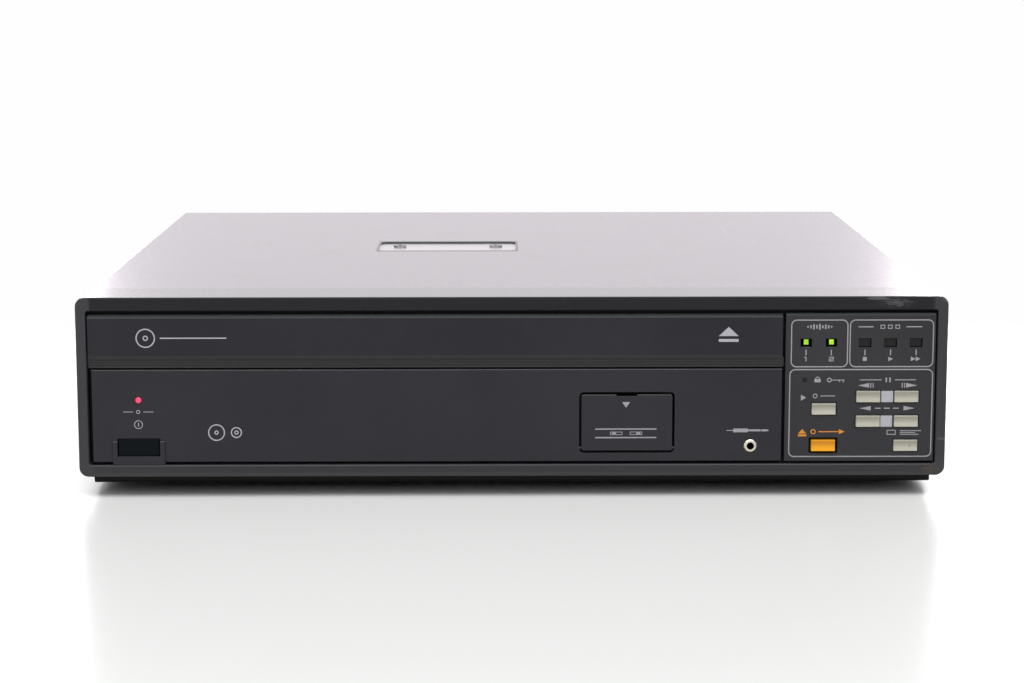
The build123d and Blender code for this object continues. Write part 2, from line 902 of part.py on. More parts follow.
# The transport plate lies against the underside of the cover, under the window.
plate_screw_y = front_y + plate_screw_from_front
plate_screw_x = about(window_x, plate_screw_span)
with BuildPart() as transport_plate:
    block(
        about(window_x, window_width + 2 * plate_margin),
        about(window_y, window_length + 2 * plate_margin),
        (cover_under - plate_thickness, cover_under),
    )
    fillet(transport_plate.edges().filter_by(Axis.Z), window_corner)
    for x in plate_screw_x:
        post(
            x,
            plate_screw_y,
            (cover_under - plate_thickness - 1, cover_under + 1),
            plate_screw_radius + hole_gap,
            Mode.SUBTRACT,
        )
save(transport_plate, "transport_plate")

with BuildPart() as transport_screws:
    for x in plate_screw_x:
        post(x, plate_screw_y, (cover_under, cover_top), plate_screw_head)
        post(
            x,
            plate_screw_y,
            (cover_under - plate_screw_length, cover_under),
            plate_screw_radius,
        )
        for slot in ((cross_length, cross_width), (cross_width, cross_length)):
            block(
                about(x, slot[0]),
                about(plate_screw_y, slot[1]),
                (cover_top - cross_depth, cover_top),
                Mode.SUBTRACT,
            )
save(transport_screws, "transport_screws")

# The bottom pan: a narrow shallow tray under the frame, and full-width walls behind it.
pan_front_y = front_y + pan_setback
pan_wall_y = (front_y + frame_depth + tongue_length, rear_inner_y)
main_board_z = pan_floor + board_standoff
main_board_posts = [
    (x, y)
    for x in (main_board_left + main_post_inset, main_board_right - main_post_inset)
    for y in (
        main_board_front_y + main_post_inset,
        main_board_back_y - main_post_inset,
    )
]
foot_y = (front_y + foot_from_ends, rear_y - foot_from_ends)
with BuildPart() as bottom_pan:
    block(
        (-pan_front_x, pan_front_x),
        (pan_front_y, pan_wall_y[0]),
        (pan_clearance, frame_lift),
    )
    fillet(bottom_pan.edges().group_by(Axis.Z)[0].group_by(Axis.Y)[0], pan_corner)
    block(
        (-pan_front_x + pan_thickness, pan_front_x - pan_thickness),
        (pan_front_y + pan_thickness, pan_wall_y[0]),
        (pan_floor, frame_lift),
        Mode.SUBTRACT,
    )
    block((-pan_wall_x, pan_wall_x), pan_wall_y, (pan_clearance, pan_floor))
    for side in (-1, 1):
        wall = sorted((side * pan_wall_x, side * (pan_wall_x - pan_thickness)))
        block(wall, pan_wall_y, (pan_clearance, pan_clearance + pan_wall_height))
    for y in cover_screw_y:
        rod_x(
            (-cover_x, cover_x),
            y,
            cover_screw_z,
            cover_screw_radius + hole_gap,
            Mode.SUBTRACT,
        )
    for x in (-foot_x, foot_x):
        for y in foot_y:
            post(
                x,
                y,
                (pan_clearance - 1, pan_floor + 1),
                foot_screw_radius + shaft_gap,
                Mode.SUBTRACT,
            )
    pillar_z = (pan_clearance + pan_thickness / 2, deck_low - damper_height)
    for x in pillar_x:
        for y in pillar_y:
            post(x, y, pillar_z, pillar_radius)
    for x, y in main_board_posts:
        post(x, y, (pillar_z[0], main_board_z), main_post_radius)
save(bottom_pan, "bottom_pan")

# Four moulded rubber feet, each held by one screw from below.
with BuildPart() as feet:
    for x in (-foot_x, foot_x):
        for y in foot_y:
            post(x, y, (0, pan_clearance), foot_radius)
            post(x, y, (0, foot_bore_depth), foot_bore, Mode.SUBTRACT)
            post(
                x,
                y,
                (0, pan_clearance),
                foot_screw_radius + shaft_gap,
                Mode.SUBTRACT,
            )
    chamfer(feet.edges().filter_by(GeomType.CIRCLE).group_by(Axis.Z)[0], foot_chamfer)
save(feet, "feet")

with BuildPart() as foot_screws:
    for x in (-foot_x, foot_x):
        for y in foot_y:
            post(
                x,
                y,
                (foot_bore_depth - foot_screw_head_height, foot_bore_depth),
                foot_screw_head,
            )
            post(
                x,
                y,
                (foot_bore_depth, pan_floor + foot_screw_reach),
                foot_screw_radius,
            )
save(foot_screws, "foot_screws")

with BuildPart() as cover_screws:
    for side in (-1, 1):
        head = sorted((side * cover_x, side * width / 2))
        stem = sorted((side * (cover_x - cover_screw_reach), side * cover_x))
        for y in cover_screw_y:
            rod_x(head, y, cover_screw_z, cover_screw_head)
            rod_x(stem, y, cover_screw_z, cover_screw_radius)
save(cover_screws, "cover_screws")

# ------------------------------------------------------------- keys, lamps and switches

key_front_y = front_y - key_proud
flange_y = (
    panel_back_y + slide_gap / 2,
    panel_back_y + slide_gap / 2 + key_flange_thickness,
)
tact_top_y = control_board_y - tact_height
stem_end_y = tact_top_y - key_travel - slide_gap


def make_key(name, x, row, gap):
    """A moulded key cap with a flange behind the panel and a stem to its switch."""
    z = from_top(row)
    flange = gap + key_overlap
    with BuildPart() as key:
        block(about(x, key_width), (key_front_y, flange_y[0]), about(z, key_height))
        fillet(key.edges().group_by(Axis.Y)[0], key_edge)
        block(
            about(x, key_width + 2 * flange),
            flange_y,
            about(z, key_height + 2 * flange),
        )
        rod_y(x, (flange_y[1], stem_end_y), z, key_stem_radius)
    save(key, name)


for name, x, row, gap in keys:
    make_key(name, x, row, gap)

with BuildPart() as control_board:
    block(
        (control_left - board_margin, opening_x - board_margin),
        (control_board_y, control_board_y + board_thickness),
        (
            control_bottom + 2 * board_margin,
            control_top - 2 * board_margin - chassis_bar_gap,
        ),
    )
save(control_board, "control_board")

with BuildPart() as key_switches:
    for name, x, row, gap in keys:
        block(
            about(x, tact_body),
            (tact_top_y, control_board_y),
            about(from_top(row), tact_body),
        )
save(key_switches, "key_switches")

with BuildPart() as audio_lamps:
    for x in audio_x:
        block(
            about(x, audio_lamp_size),
            (panel_back_y, control_board_y),
            about(from_top(lamp_row), audio_lamp_size),
        )
save(audio_lamps, "audio_lamps")

with BuildPart() as mode_lamps:
    for x in mode_x:
        block(
            about(x, mode_lamp_size[0]),
            (panel_back_y, control_board_y),
            about(from_top(lamp_row), mode_lamp_size[1]),
        )
save(mode_lamps, "mode_lamps")

with BuildPart() as key_lock_lamp:
    rod_y(
        key_lock_x,
        (panel_y + key_lock_inset, control_board_y),
        from_top(key_lock_row),
        key_lock_radius,
    )
save(key_lock_lamp, "key_lock_lamp")

with BuildPart() as power_lamp:
    rod_y(
        power_lamp_x,
        (panel_y - power_lamp_proud, panel_y - power_lamp_proud + power_lamp_length),
        from_top(power_lamp_row),
        power_lamp_radius,
    )
    fillet(power_lamp.edges().group_by(Axis.Y)[0], power_lamp_dome)
save(power_lamp, "power_lamp")

# The power button slides in its switch, behind the sub-chassis.
button_z = from_top(button_row)
button_stem_y = (flange_y[1], flange_y[1] + button_stem)
with BuildPart() as power_button:
    block(
        about(button_x, button_width),
        (panel_y - button_proud, flange_y[0]),
        about(button_z, button_height),
    )
    fillet(power_button.edges().group_by(Axis.Y)[0], key_edge)
    block(button_flange_x, flange_y, button_flange_z)
    rod_y(button_x, button_stem_y, button_z, button_stem_radius)
save(power_button, "power_button")

with BuildPart() as power_switch:
    block(
        (button_flange_x[0] - switch_rim, button_flange_x[1] + switch_rim),
        (chassis_back_y, chassis_back_y + switch_depth),
        (opening_low + ledge + sheet_gap, button_flange_z[1] + switch_rim),
    )
    rod_y(
        button_x,
        (chassis_back_y, button_stem_y[1] + button_travel + slide_gap),
        button_z,
        button_stem_radius + shaft_gap,
        Mode.SUBTRACT,
    )
save(power_switch, "power_switch")

# A raised guard runs down both sides of the button and under it, over the gap between
# the panel and the frame.
guard_low = opening_low + guard_floor
guard_x = about(button_x, button_width + 2 * (button_gap + guard_bar))
guard_top = button_z + button_height / 2 - guard_step
with BuildPart() as power_button_guard:
    block(guard_x, (panel_y - guard_proud, panel_y), (guard_low, guard_top))
    block(guard_x, (panel_y, panel_back_y), (guard_low, lower_bottom))
    fillet(power_button_guard.edges().group_by(Axis.Y)[0], panel_edge)
    block(
        about(button_x, button_width + 2 * button_gap),
        (panel_y - guard_proud - 1, panel_y),
        (button_z - button_height / 2 - button_gap, guard_top + 1),
        Mode.SUBTRACT,
    )
save(power_button_guard, "power_button_guard")

# The function door drops down about two pins moulded on its lower corners.
with BuildPart() as function_door:
    block(
        about(door_x, door_width),
        (panel_y, panel_y + door_thickness),
        about(from_top(door_row), door_height),
    )
    fillet(function_door.edges().filter_by(Axis.Y), door_corner)
    fillet(function_door.edges().group_by(Axis.Y)[0], panel_edge)
    block(
        about(door_x, door_notch[0]),
        (panel_y - 1, panel_y + door_thickness + 1),
        (door_low + door_height - door_notch[1], door_low + door_height + 1),
        Mode.SUBTRACT,
    )
    pin_reach = hinge_reach - slide_gap
    rod_x((door_x - pin_reach, door_x + pin_reach), hinge_y, hinge_z, hinge_pin_radius)
save(function_door, "function_door")

# The function switches: a block behind the compartment with two slide knobs.
switch_face_y = panel_back_y + compartment_depth
switch_z = (compartment_z[0] + compartment_z[1]) / 2
slider_x = about(door_x, slider_spacing)
with BuildPart() as function_switch_block:
    block(
        (compartment_x[0] - compartment_wall, compartment_x[1] + compartment_wall),
        (switch_face_y, switch_face_y + switch_block_thickness),
        (compartment_z[0] - compartment_wall, compartment_z[1] + compartment_wall),
    )
    for x in slider_x:
        block(
            about(x, slider_width + 2 * (slider_travel + slide_gap)),
            (switch_face_y, switch_face_y + switch_block_thickness / 2),
            about(switch_z, slot_height + 2 * slide_gap),
            Mode.SUBTRACT,
        )
save(function_switch_block, "function_switch_block")


def make_slider(name, x):
    """A slide knob that stands out of its slot."""
    with BuildPart() as slider:
        block(
            about(x, slider_width),
            (
                switch_face_y - slider_proud,
                switch_face_y + switch_block_thickness / 2 - slide_gap,
            ),
            about(switch_z, slot_height),
        )
        fillet(slider.edges().group_by(Axis.Y)[0], key_edge)
    save(slider, name)


make_slider("function_slider_left", slider_x[0])
make_slider("function_slider_right", slider_x[1])

# The jack's threaded ring comes through the panel, its body lies behind.
jack_z = from_top(jack_row)
with BuildPart() as control_jack:
    rod_y(jack_x, (panel_y - jack_proud, panel_back_y), jack_z, jack_ring_radius)
    chamfer(control_jack.edges().group_by(Axis.Y)[0], jack_chamfer)
    block(
        about(jack_x, jack_body),
        (panel_back_y, panel_back_y + jack_body_length),
        about(jack_z, jack_body),
    )
    rod_y(
        jack_x,
        (panel_y - jack_proud, panel_y - jack_proud + jack_bore_length),
        jack_z,
        jack_hole_radius,
        Mode.SUBTRACT,
    )
save(control_jack, "control_jack")

# --------------------------------------------------------------- the tray and its drive

tray_x = (disc_x - tray_half_width, disc_x + tray_half_width)
runner_z = (tray_low + runner_rise, tray_low + runner_rise + runner_thickness)
tail_y = (tray_back_y, rear_inner_y - tail_gap)
rack_pitch = pi * rack_module
rack_tooth_count = int((rack_back_y - rack_front_y) / rack_pitch) - 1
first_tooth = round((rack_front_y - drive_y) / rack_pitch) + 0.5
rack_root = root_depth * rack_module
rack_foot = rack_root + root_bite
rack_tip = tip_height * rack_module
rack_z = (tray_low - rack_thickness, tray_low)

# The disc tray: two round wells, a slot for the turntable and pickup that is open at
# the rear, a runner along each side and a rack under the left edge.
with BuildPart() as disc_tray:
    block(tray_x, (tray_front_y, tray_back_y), (tray_low, tray_high))
    post(
        disc_x, disc_y, (tray_low + tray_floor, tray_high), well_radius, Mode.SUBTRACT
    )
    post(
        disc_x,
        disc_y,
        (tray_low + tray_floor - small_well_depth, tray_high),
        small_well_radius,
        Mode.SUBTRACT,
    )
    post(disc_x, disc_y, (tray_low, tray_high), slot_half_width, Mode.SUBTRACT)
    block(
        about(disc_x, 2 * slot_half_width),
        (disc_y, tray_back_y),
        (tray_low, tray_high),
        Mode.SUBTRACT,
    )
    for side in (-1, 1):
        edge = disc_x + side * tray_half_width
        runner = sorted((edge, edge + side * runner_width))
        block(runner, (rail_front_y, tail_y[1]), runner_z)
        bar = sorted((edge, edge - side * tail_bar_width))
        block(bar, tail_y, (tray_low, runner_z[1]))
    block(
        (rack_pitch_x - rack_root - rack_back, rack_pitch_x - rack_root),
        (rack_front_y, rack_back_y),
        rack_z,
    )
    with BuildSketch(Plane.XY.offset(rack_z[0])):
        for index in range(rack_tooth_count):
            with Locations((rack_pitch_x, drive_y + (first_tooth + index) * rack_pitch)):
                Polygon(*tooth(rack_module, rack_foot, rack_tip), align=None)
    extrude(amount=rack_thickness)
save(disc_tray, "disc_tray")

# Two fixed rails hold the tray's runners from below, outside and above.
with BuildPart() as tray_rails:
    for side in (-1, 1):
        inner = disc_x + side * (tray_half_width + runner_width + slide_gap)
        flange = sorted((inner - side * rail_flange, inner))
        wall = sorted((inner, inner + side * rail_wall))
        rail_y = (rail_front_y, rail_back_y)
        block(wall, rail_y, (deck_top, runner_z[1] + slide_gap + rail_cap))
        block(
            flange,
            rail_y,
            (runner_z[0] - slide_gap - rail_flange_thickness, runner_z[0] - slide_gap),
        )
        block(
            flange,
            rail_y,
            (runner_z[1] + slide_gap, runner_z[1] + slide_gap + rail_cap),
        )
save(tray_rails, "tray_rails")

# The steel deck carries the rails, the loading train, the spindle motor and, on lugs
# bent down from it, the tilt frame and the tilt motor.
tilt_pin_x = frame_half_width + lug_gap
tilt_motor_z = frame_low - tilt_cam_gap - tilt_cam_radius
with BuildPart() as mechanism_deck:
    block((deck_left, deck_right), (deck_front_y, deck_back_y), (deck_low, deck_top))
    block(
        about(disc_x, 2 * slot_half_width),
        (deck_slot_front_y, deck_slot_back_y),
        (deck_low, deck_top),
        Mode.SUBTRACT,
    )
    post(
        disc_x,
        disc_y,
        (deck_low, deck_top),
        spindle_radius + spindle_hole_gap,
        Mode.SUBTRACT,
    )
    post(
        drive_x,
        drive_y,
        (deck_low, deck_top),
        drive_shaft_radius + shaft_gap,
        Mode.SUBTRACT,
    )
    post(pulley_x, drive_y, (pulley_z - stud_end, deck_low), stud_radius)
    flange_z = (deck_low - deck_flange, deck_low)
    block((deck_left, deck_left + deck_thickness), (deck_front_y, deck_back_y), flange_z)
    block(
        (deck_right - deck_thickness, deck_right), (deck_front_y, deck_back_y), flange_z
    )
    for side in (-1, 1):
        inner = disc_x + side * tilt_pin_x
        lug = sorted((inner, inner + side * lug_thickness))
        block(lug, about(tilt_pin_y, lug_size[0]), (guide_z - lug_size[1], deck_low))
        rod_x(
            lug,
            tilt_pin_y,
            guide_z,
            tilt_pin_radius + shaft_gap,
            Mode.SUBTRACT,
        )
    block(
        (tilt_motor_left - deck_thickness, tilt_motor_left),
        about(tilt_cam_y, tilt_motor_plate),
        (tilt_motor_z - tilt_motor_radius, deck_low),
    )
save(mechanism_deck, "mechanism_deck")

with BuildPart() as deck_dampers:
    for x in pillar_x:
        for y in pillar_y:
            post(x, y, (deck_low - damper_height, deck_low), damper_radius)
            with Locations((x, y, deck_low - damper_height / 2)):
                Torus(damper_radius, damper_groove, mode=Mode.SUBTRACT)
save(deck_dampers, "deck_dampers")

# The loading train: motor pulley, belt, pulley with pinion, and the drive gear whose
# upper pinion works the rack through the deck.
motor_z = (deck_low - loading_motor_length, deck_low)
with BuildPart() as loading_motor:
    post(loading_motor_x, drive_y, motor_z, loading_motor_radius)
    fillet(loading_motor.edges().group_by(Axis.Z)[0], motor_edge)
    post(
        loading_motor_x,
        drive_y,
        (motor_z[0], motor_z[0] + loading_motor_length / 2),
        motor_shaft_radius + shaft_gap,
        Mode.SUBTRACT,
    )
save(loading_motor, "loading_motor")

belt_z = about(pulley_z + pulley_thickness / 2, belt_width)
groove_z = about(pulley_z + pulley_thickness / 2, belt_width + 2 * slide_gap)
pulley_span = (pulley_z, pulley_z + pulley_thickness)
with BuildPart() as motor_pulley:
    post(
        loading_motor_x,
        drive_y,
        (
            pulley_z - motor_shaft_end,
            motor_z[0] + loading_motor_length / 2 - motor_socket_spare,
        ),
        motor_shaft_radius,
    )
    post(loading_motor_x, drive_y, pulley_span, motor_pulley_radius)
    for z in ((pulley_span[0], groove_z[0]), (groove_z[1], pulley_span[1])):
        post(loading_motor_x, drive_y, z, motor_pulley_radius + pulley_flange)
save(motor_pulley, "motor_pulley")

pinion_span = (wheel_z - pinion_margin, wheel_z + wheel_thickness + pinion_margin)
with BuildPart() as pulley_gear:
    post(pulley_x, drive_y, pulley_span, pulley_radius)
    for z in ((pulley_span[0], groove_z[0]), (groove_z[1], pulley_span[1])):
        post(pulley_x, drive_y, z, pulley_radius + pulley_flange)
    post(
        pulley_x,
        drive_y,
        (pulley_span[1], pinion_span[0]),
        small_pitch - pinion_neck,
    )
    with BuildSketch(Plane.XY.offset(pinion_span[0])):
        with Locations((pulley_x, drive_y)):
            add(gear_outline(wheel_module, small_pinion_teeth, 180 / small_pinion_teeth))
    extrude(amount=pinion_span[1] - pinion_span[0])
    post(
        pulley_x,
        drive_y,
        (pulley_span[0], pinion_span[1]),
        stud_radius + shaft_gap,
        Mode.SUBTRACT,
    )
save(pulley_gear, "pulley_gear")

with BuildPart() as loading_belt:
    for offset, mode in (
        (slide_gap + belt_thickness, Mode.ADD),
        (slide_gap, Mode.SUBTRACT),
    ):
        with BuildSketch(Plane.XY.offset(belt_z[0])) as loop:
            with BuildLine():
                CenterArc((pulley_x, drive_y), pulley_radius + offset, 0, 360)
                CenterArc(
                    (loading_motor_x, drive_y), motor_pulley_radius + offset, 0, 360
                )
            make_hull()
        extrude(amount=belt_width, mode=mode)
save(loading_belt, "loading_belt")

upper_pinion_z = (
    rack_z[0] - pinion_clearance - collar_gap,
    rack_z[1] - pinion_clearance,
)
with BuildPart() as drive_gear:
    with BuildSketch(Plane.XY.offset(upper_pinion_z[0])):
        with Locations((drive_x, drive_y)):
            add(gear_outline(rack_module, pinion_teeth))
    extrude(amount=upper_pinion_z[1] - upper_pinion_z[0])
    with BuildSketch(Plane.XY.offset(wheel_z)):
        with Locations((drive_x, drive_y)):
            add(gear_outline(wheel_module, wheel_teeth))
    extrude(amount=wheel_thickness)
    post(drive_x, drive_y, (wheel_z, upper_pinion_z[1]), drive_shaft_radius)
    post(
        drive_x,
        drive_y,
        (wheel_z + wheel_thickness, deck_low - collar_gap),
        collar_radius,
    )
    post(
        drive_x,
        drive_y,
        (deck_top + collar_gap, upper_pinion_z[0]),
        collar_radius,
    )
save(drive_gear, "drive_gear")

# ------------------------------------------------- spindle, clamper, tilt frame, pickup

spindle_motor_z = (deck_low - spindle_motor_length, deck_low)
with BuildPart() as spindle_motor:
    post(disc_x, disc_y, spindle_motor_z, spindle_motor_radius)
    fillet(spindle_motor.edges().group_by(Axis.Z)[0], spindle_motor_edge)
    post(
        disc_x,
        disc_y,
        spindle_motor_z,
        spindle_radius + shaft_gap,
        Mode.SUBTRACT,
    )
save(spindle_motor, "spindle_motor")

with BuildPart() as turntable:
    post(
        disc_x,
        disc_y,
        (turntable_top - turntable_thickness, turntable_top),
        turntable_radius,
    )
    chamfer(turntable.edges().group_by(Axis.Z)[-1], turntable_edge)
    post(
        disc_x,
        disc_y,
        (deck_top + boss_gap, turntable_top - turntable_thickness),
        boss_radius,
    )
    with Locations((disc_x, disc_y, turntable_top + cone_height / 2)):
        Cone(cone_radius, cone_radius - cone_taper, cone_height)
    post(
        disc_x,
        disc_y,
        (spindle_motor_z[0] + spindle_end, turntable_top),
        spindle_radius,
    )
save(turntable, "turntable")

# The clamp bracket stands on the deck behind the slot and holds the arm's pins.
with BuildPart() as clamp_bracket:
    ear_x = arm_half_span + ear_gap
    reach = ear_x + ear_thickness
    bracket_y = (arm_pivot_y - bracket_front, arm_pivot_y + bracket_back)
    block(
        about(disc_x, 2 * reach),
        bracket_y,
        (deck_top, deck_top + deck_thickness),
    )
    block(
        about(disc_x, 2 * reach),
        (bracket_y[1] - deck_thickness, bracket_y[1]),
        (deck_top, arm_pivot_z - bracket_web_drop),
    )
    for side in (-1, 1):
        ear = sorted((disc_x + side * ear_x, disc_x + side * reach))
        block(ear, bracket_y, (deck_top, arm_pivot_z + bracket_ear_rise))
        rod_x(
            ear,
            arm_pivot_y,
            arm_pivot_z,
            arm_pin_radius + shaft_gap,
            Mode.SUBTRACT,
        )
save(clamp_bracket, "clamp_bracket")

# The clamp arm is a pressed steel lever with turned-up edges and a pin at each rear
# corner. The clamper hangs loosely in its round hole.
with BuildPart() as clamp_arm:
    arm_y = (disc_y - arm_reach, arm_pivot_y + arm_tail)
    block(
        about(disc_x, 2 * arm_half_width),
        arm_y,
        (arm_low, arm_low + arm_thickness),
    )
    for side in (-1, 1):
        rib = sorted(
            (
                disc_x + side * arm_half_width,
                disc_x + side * (arm_half_width - arm_thickness),
            )
        )
        block(rib, arm_y, (arm_low, arm_low + arm_thickness + arm_rib))
    block(
        about(disc_x, 2 * arm_half_span),
        about(arm_pivot_y, arm_block[0]),
        (arm_pivot_z - arm_block[1], arm_low + arm_thickness),
    )
    pin_x = arm_half_span + ear_gap + ear_thickness + arm_pin_end
    rod_x(about(disc_x, 2 * pin_x), arm_pivot_y, arm_pivot_z, arm_pin_radius)
    post(
        disc_x,
        disc_y,
        (arm_low, arm_low + arm_thickness),
        arm_hole,
        Mode.SUBTRACT,
    )
save(clamp_arm, "clamp_arm")

cap_z = arm_low + arm_thickness + slide_gap
with BuildPart() as clamper:
    post(
        disc_x,
        disc_y,
        (clamper_low, clamper_low + clamper_thickness),
        clamper_radius,
    )
    post(
        disc_x,
        disc_y,
        (clamper_low, clamper_low + clamper_recess),
        cone_radius + clamper_cone_gap,
        Mode.SUBTRACT,
    )
    post(disc_x, disc_y, (clamper_low + clamper_recess, cap_z), clamper_hub)
    post(disc_x, disc_y, (cap_z, cap_z + clamper_cap_thickness), clamper_cap)
save(clamper, "clamper")

# The tilt frame hangs on two pins in the deck's lugs, close behind the spindle. It holds
# the two guide shafts, the lead screw and its motor, and rests on the tilt cam.
guide_x = about(disc_x, guide_spacing)
frame_high = frame_low + frame_rise
with BuildPart() as tilt_frame:
    block(
        about(disc_x, 2 * frame_half_width),
        (frame_front_y, frame_back_y),
        (frame_low, frame_high),
    )
    block(
        about(disc_x, 2 * frame_inner_half),
        (frame_front_y + frame_end_bar, frame_back_y - frame_end_bar),
        (frame_low, frame_high),
        Mode.SUBTRACT,
    )
    for x in guide_x:
        rod_y(
            x,
            (frame_front_y + frame_end_skin, frame_back_y - frame_end_skin),
            guide_z,
            guide_radius + shaft_gap,
            Mode.SUBTRACT,
        )
    rod_y(
        screw_x,
        (frame_front_y + frame_end_skin, frame_back_y),
        screw_z,
        screw_radius + shaft_gap,
        Mode.SUBTRACT,
    )
    for side in (-1, 1):
        edge = disc_x + side * frame_half_width
        pin = sorted((edge - side * tilt_pin_root, edge + side * tilt_pin_length))
        rod_x(pin, tilt_pin_y, guide_z, tilt_pin_radius)
    block(
        (disc_x - frame_half_width - tilt_arm_length, disc_x - frame_half_width),
        (frame_back_y - tilt_arm_span[0], frame_back_y + tilt_arm_span[1]),
        (frame_low, frame_low + tilt_arm_thickness),
    )
save(tilt_frame, "tilt_frame")

shaft_front_y = frame_front_y + frame_end_skin + shaft_gap
with BuildPart() as guide_shafts:
    for x in guide_x:
        rod_y(
            x,
            (shaft_front_y, frame_back_y - frame_end_skin - shaft_gap),
            guide_z,
            guide_radius,
        )
save(guide_shafts, "guide_shafts")

carriage_span = about(carriage_y, carriage_length)
with BuildPart() as pickup_carriage:
    block(
        about(disc_x, 2 * carriage_half_width),
        carriage_span,
        (carriage_low, carriage_high),
    )
    fillet(pickup_carriage.edges().filter_by(Axis.Z), carriage_corner)
    block(
        about(disc_x, tower_width),
        about(carriage_y, tower_length),
        (carriage_high, tower_top),
    )
    post(
        disc_x,
        carriage_y,
        (lens_seat, tower_top),
        lens_radius + shaft_gap,
        Mode.SUBTRACT,
    )
    for x in guide_x:
        rod_y(x, carriage_span, guide_z, guide_radius + shaft_gap, Mode.SUBTRACT)
    rod_y(
        screw_x,
        carriage_span,
        screw_z,
        screw_radius + screw_nut_gap,
        Mode.SUBTRACT,
    )
save(pickup_carriage, "pickup_carriage")

with BuildPart() as objective_lens:
    post(disc_x, carriage_y, (lens_seat, lens_top), lens_radius)
    fillet(objective_lens.edges().group_by(Axis.Z)[-1], lens_proud)
save(objective_lens, "objective_lens")

carriage_motor_y = (frame_back_y, frame_back_y + carriage_motor_length)
with BuildPart() as lead_screw:
    rod_y(
        screw_x,
        (shaft_front_y, carriage_motor_y[0] + screw_in_motor),
        screw_z,
        screw_radius,
    )
save(lead_screw, "lead_screw")

with BuildPart() as carriage_motor:
    rod_y(screw_x, carriage_motor_y, screw_z, carriage_motor_radius)
    rod_y(
        screw_x,
        (
            carriage_motor_y[0],
            carriage_motor_y[0] + screw_in_motor + motor_socket_spare,
        ),
        screw_z,
        screw_radius + shaft_gap,
        Mode.SUBTRACT,
    )
save(carriage_motor, "carriage_motor")

# The tilt motor turns a round cam set off its shaft, under the tilt frame's arm.
tilt_motor_x = (tilt_motor_left, tilt_motor_left + tilt_motor_length)
cam_x = about(disc_x - frame_half_width - tilt_arm_length / 2, tilt_cam_width)
with BuildPart() as tilt_motor:
    rod_x(tilt_motor_x, tilt_cam_y, tilt_motor_z, tilt_motor_radius)
    rod_x(
        (tilt_motor_x[1] - tilt_shaft_in_motor - motor_socket_spare, tilt_motor_x[1]),
        tilt_cam_y,
        tilt_motor_z,
        tilt_shaft_radius + shaft_gap,
        Mode.SUBTRACT,
    )
save(tilt_motor, "tilt_motor")

with BuildPart() as tilt_cam:
    rod_x(
        (tilt_motor_x[1] - tilt_shaft_in_motor, cam_x[1]),
        tilt_cam_y,
        tilt_motor_z,
        tilt_shaft_radius,
    )
    rod_x(cam_x, tilt_cam_y + tilt_cam_throw, tilt_motor_z, tilt_cam_radius)
save(tilt_cam, "tilt_cam")

# ------------------------------------------------------------- electronics and the rear

with BuildPart() as power_transformer:
    core_y = about(transformer_y, core_depth)
    core_z = (pan_floor, pan_floor + core_height)
    block(about(transformer_x, core_width), core_y, core_z)
    fillet(power_transformer.edges().filter_by(Axis.Y), core_edge)
    block(
        about(transformer_x, core_width - 2 * core_window),
        (core_y[0] - bobbin_overhang, core_y[1] + bobbin_overhang),
        (core_z[0] + core_window, core_z[1] - core_window),
    )
save(power_transformer, "power_transformer")

# The main board with its larger components.
board_top = main_board_z + board_thickness
with BuildPart() as main_board:
    block(
        (main_board_left, main_board_right),
        (main_board_front_y, main_board_back_y),
        (main_board_z, board_top),
    )
    for across, back, radius, height in capacitors:
        post(
            main_board_left + across,
            main_board_front_y + back,
            (board_top, board_top + height),
            radius,
        )
    plates = [(*chip, chip_height) for chip in chips]
    for across, back, length, breadth, height in plates + [heat_sink]:
        block(
            about(main_board_left + across, length),
            about(main_board_front_y + back, breadth),
            (board_top, board_top + height),
        )
save(main_board, "main_board")

# The rear panel is folded forwards along its upper edge and pierced for the sockets.
sockets = [(video_x, video_radius, video_bore)]
sockets += [(x, audio_socket_radius, audio_bore) for x in audio_socket_x]
with BuildPart() as rear_panel:
    with BuildSketch(facing(rear_face_y)):
        add(inside_cover(pan_clearance, cover_under))
    extrude(amount=rear_thickness)
    block(
        (-pan_wall_x + cover_bend, pan_wall_x - cover_bend),
        (rear_inner_y - rear_flange, rear_inner_y),
        (cover_under - rear_thickness, cover_under),
    )
    holes = (rear_inner_y - 1, rear_face_y + 1)
    for x, radius, bore in sockets:
        rod_y(x, holes, socket_row_z, radius + socket_gap, Mode.SUBTRACT)
    block(
        about(control_socket_x, control_shell_size[0] + 2 * socket_gap),
        holes,
        about(socket_row_z, control_shell_size[1] + 2 * socket_gap),
        Mode.SUBTRACT,
    )
    block(
        about(inlet_x, inlet_body[0] + 2 * socket_gap),
        holes,
        about(inlet_z, inlet_body[1] + 2 * socket_gap),
        Mode.SUBTRACT,
    )
save(rear_panel, "rear_panel")

# Video, two audio sockets and a control socket, all fixed from inside the rear panel.
with BuildPart() as rear_sockets:
    for x, radius, bore in sockets:
        rod_y(x, (rear_inner_y, rear_face_y + socket_reach), socket_row_z, radius)
        block(
            about(x, socket_body),
            (rear_inner_y - socket_body, rear_inner_y),
            about(socket_row_z, socket_body),
        )
        rod_y(
            x,
            (rear_face_y, rear_face_y + socket_reach),
            socket_row_z,
            bore,
            Mode.SUBTRACT,
        )
    block(
        about(control_socket_x, control_shell_size[0]),
        (rear_inner_y, rear_face_y + control_socket_reach),
        about(socket_row_z, control_shell_size[1]),
    )
    block(
        about(control_socket_x, control_socket_size[0]),
        (rear_inner_y - control_socket_depth, rear_inner_y),
        about(socket_row_z, control_socket_size[1]),
    )
save(rear_sockets, "rear_sockets")

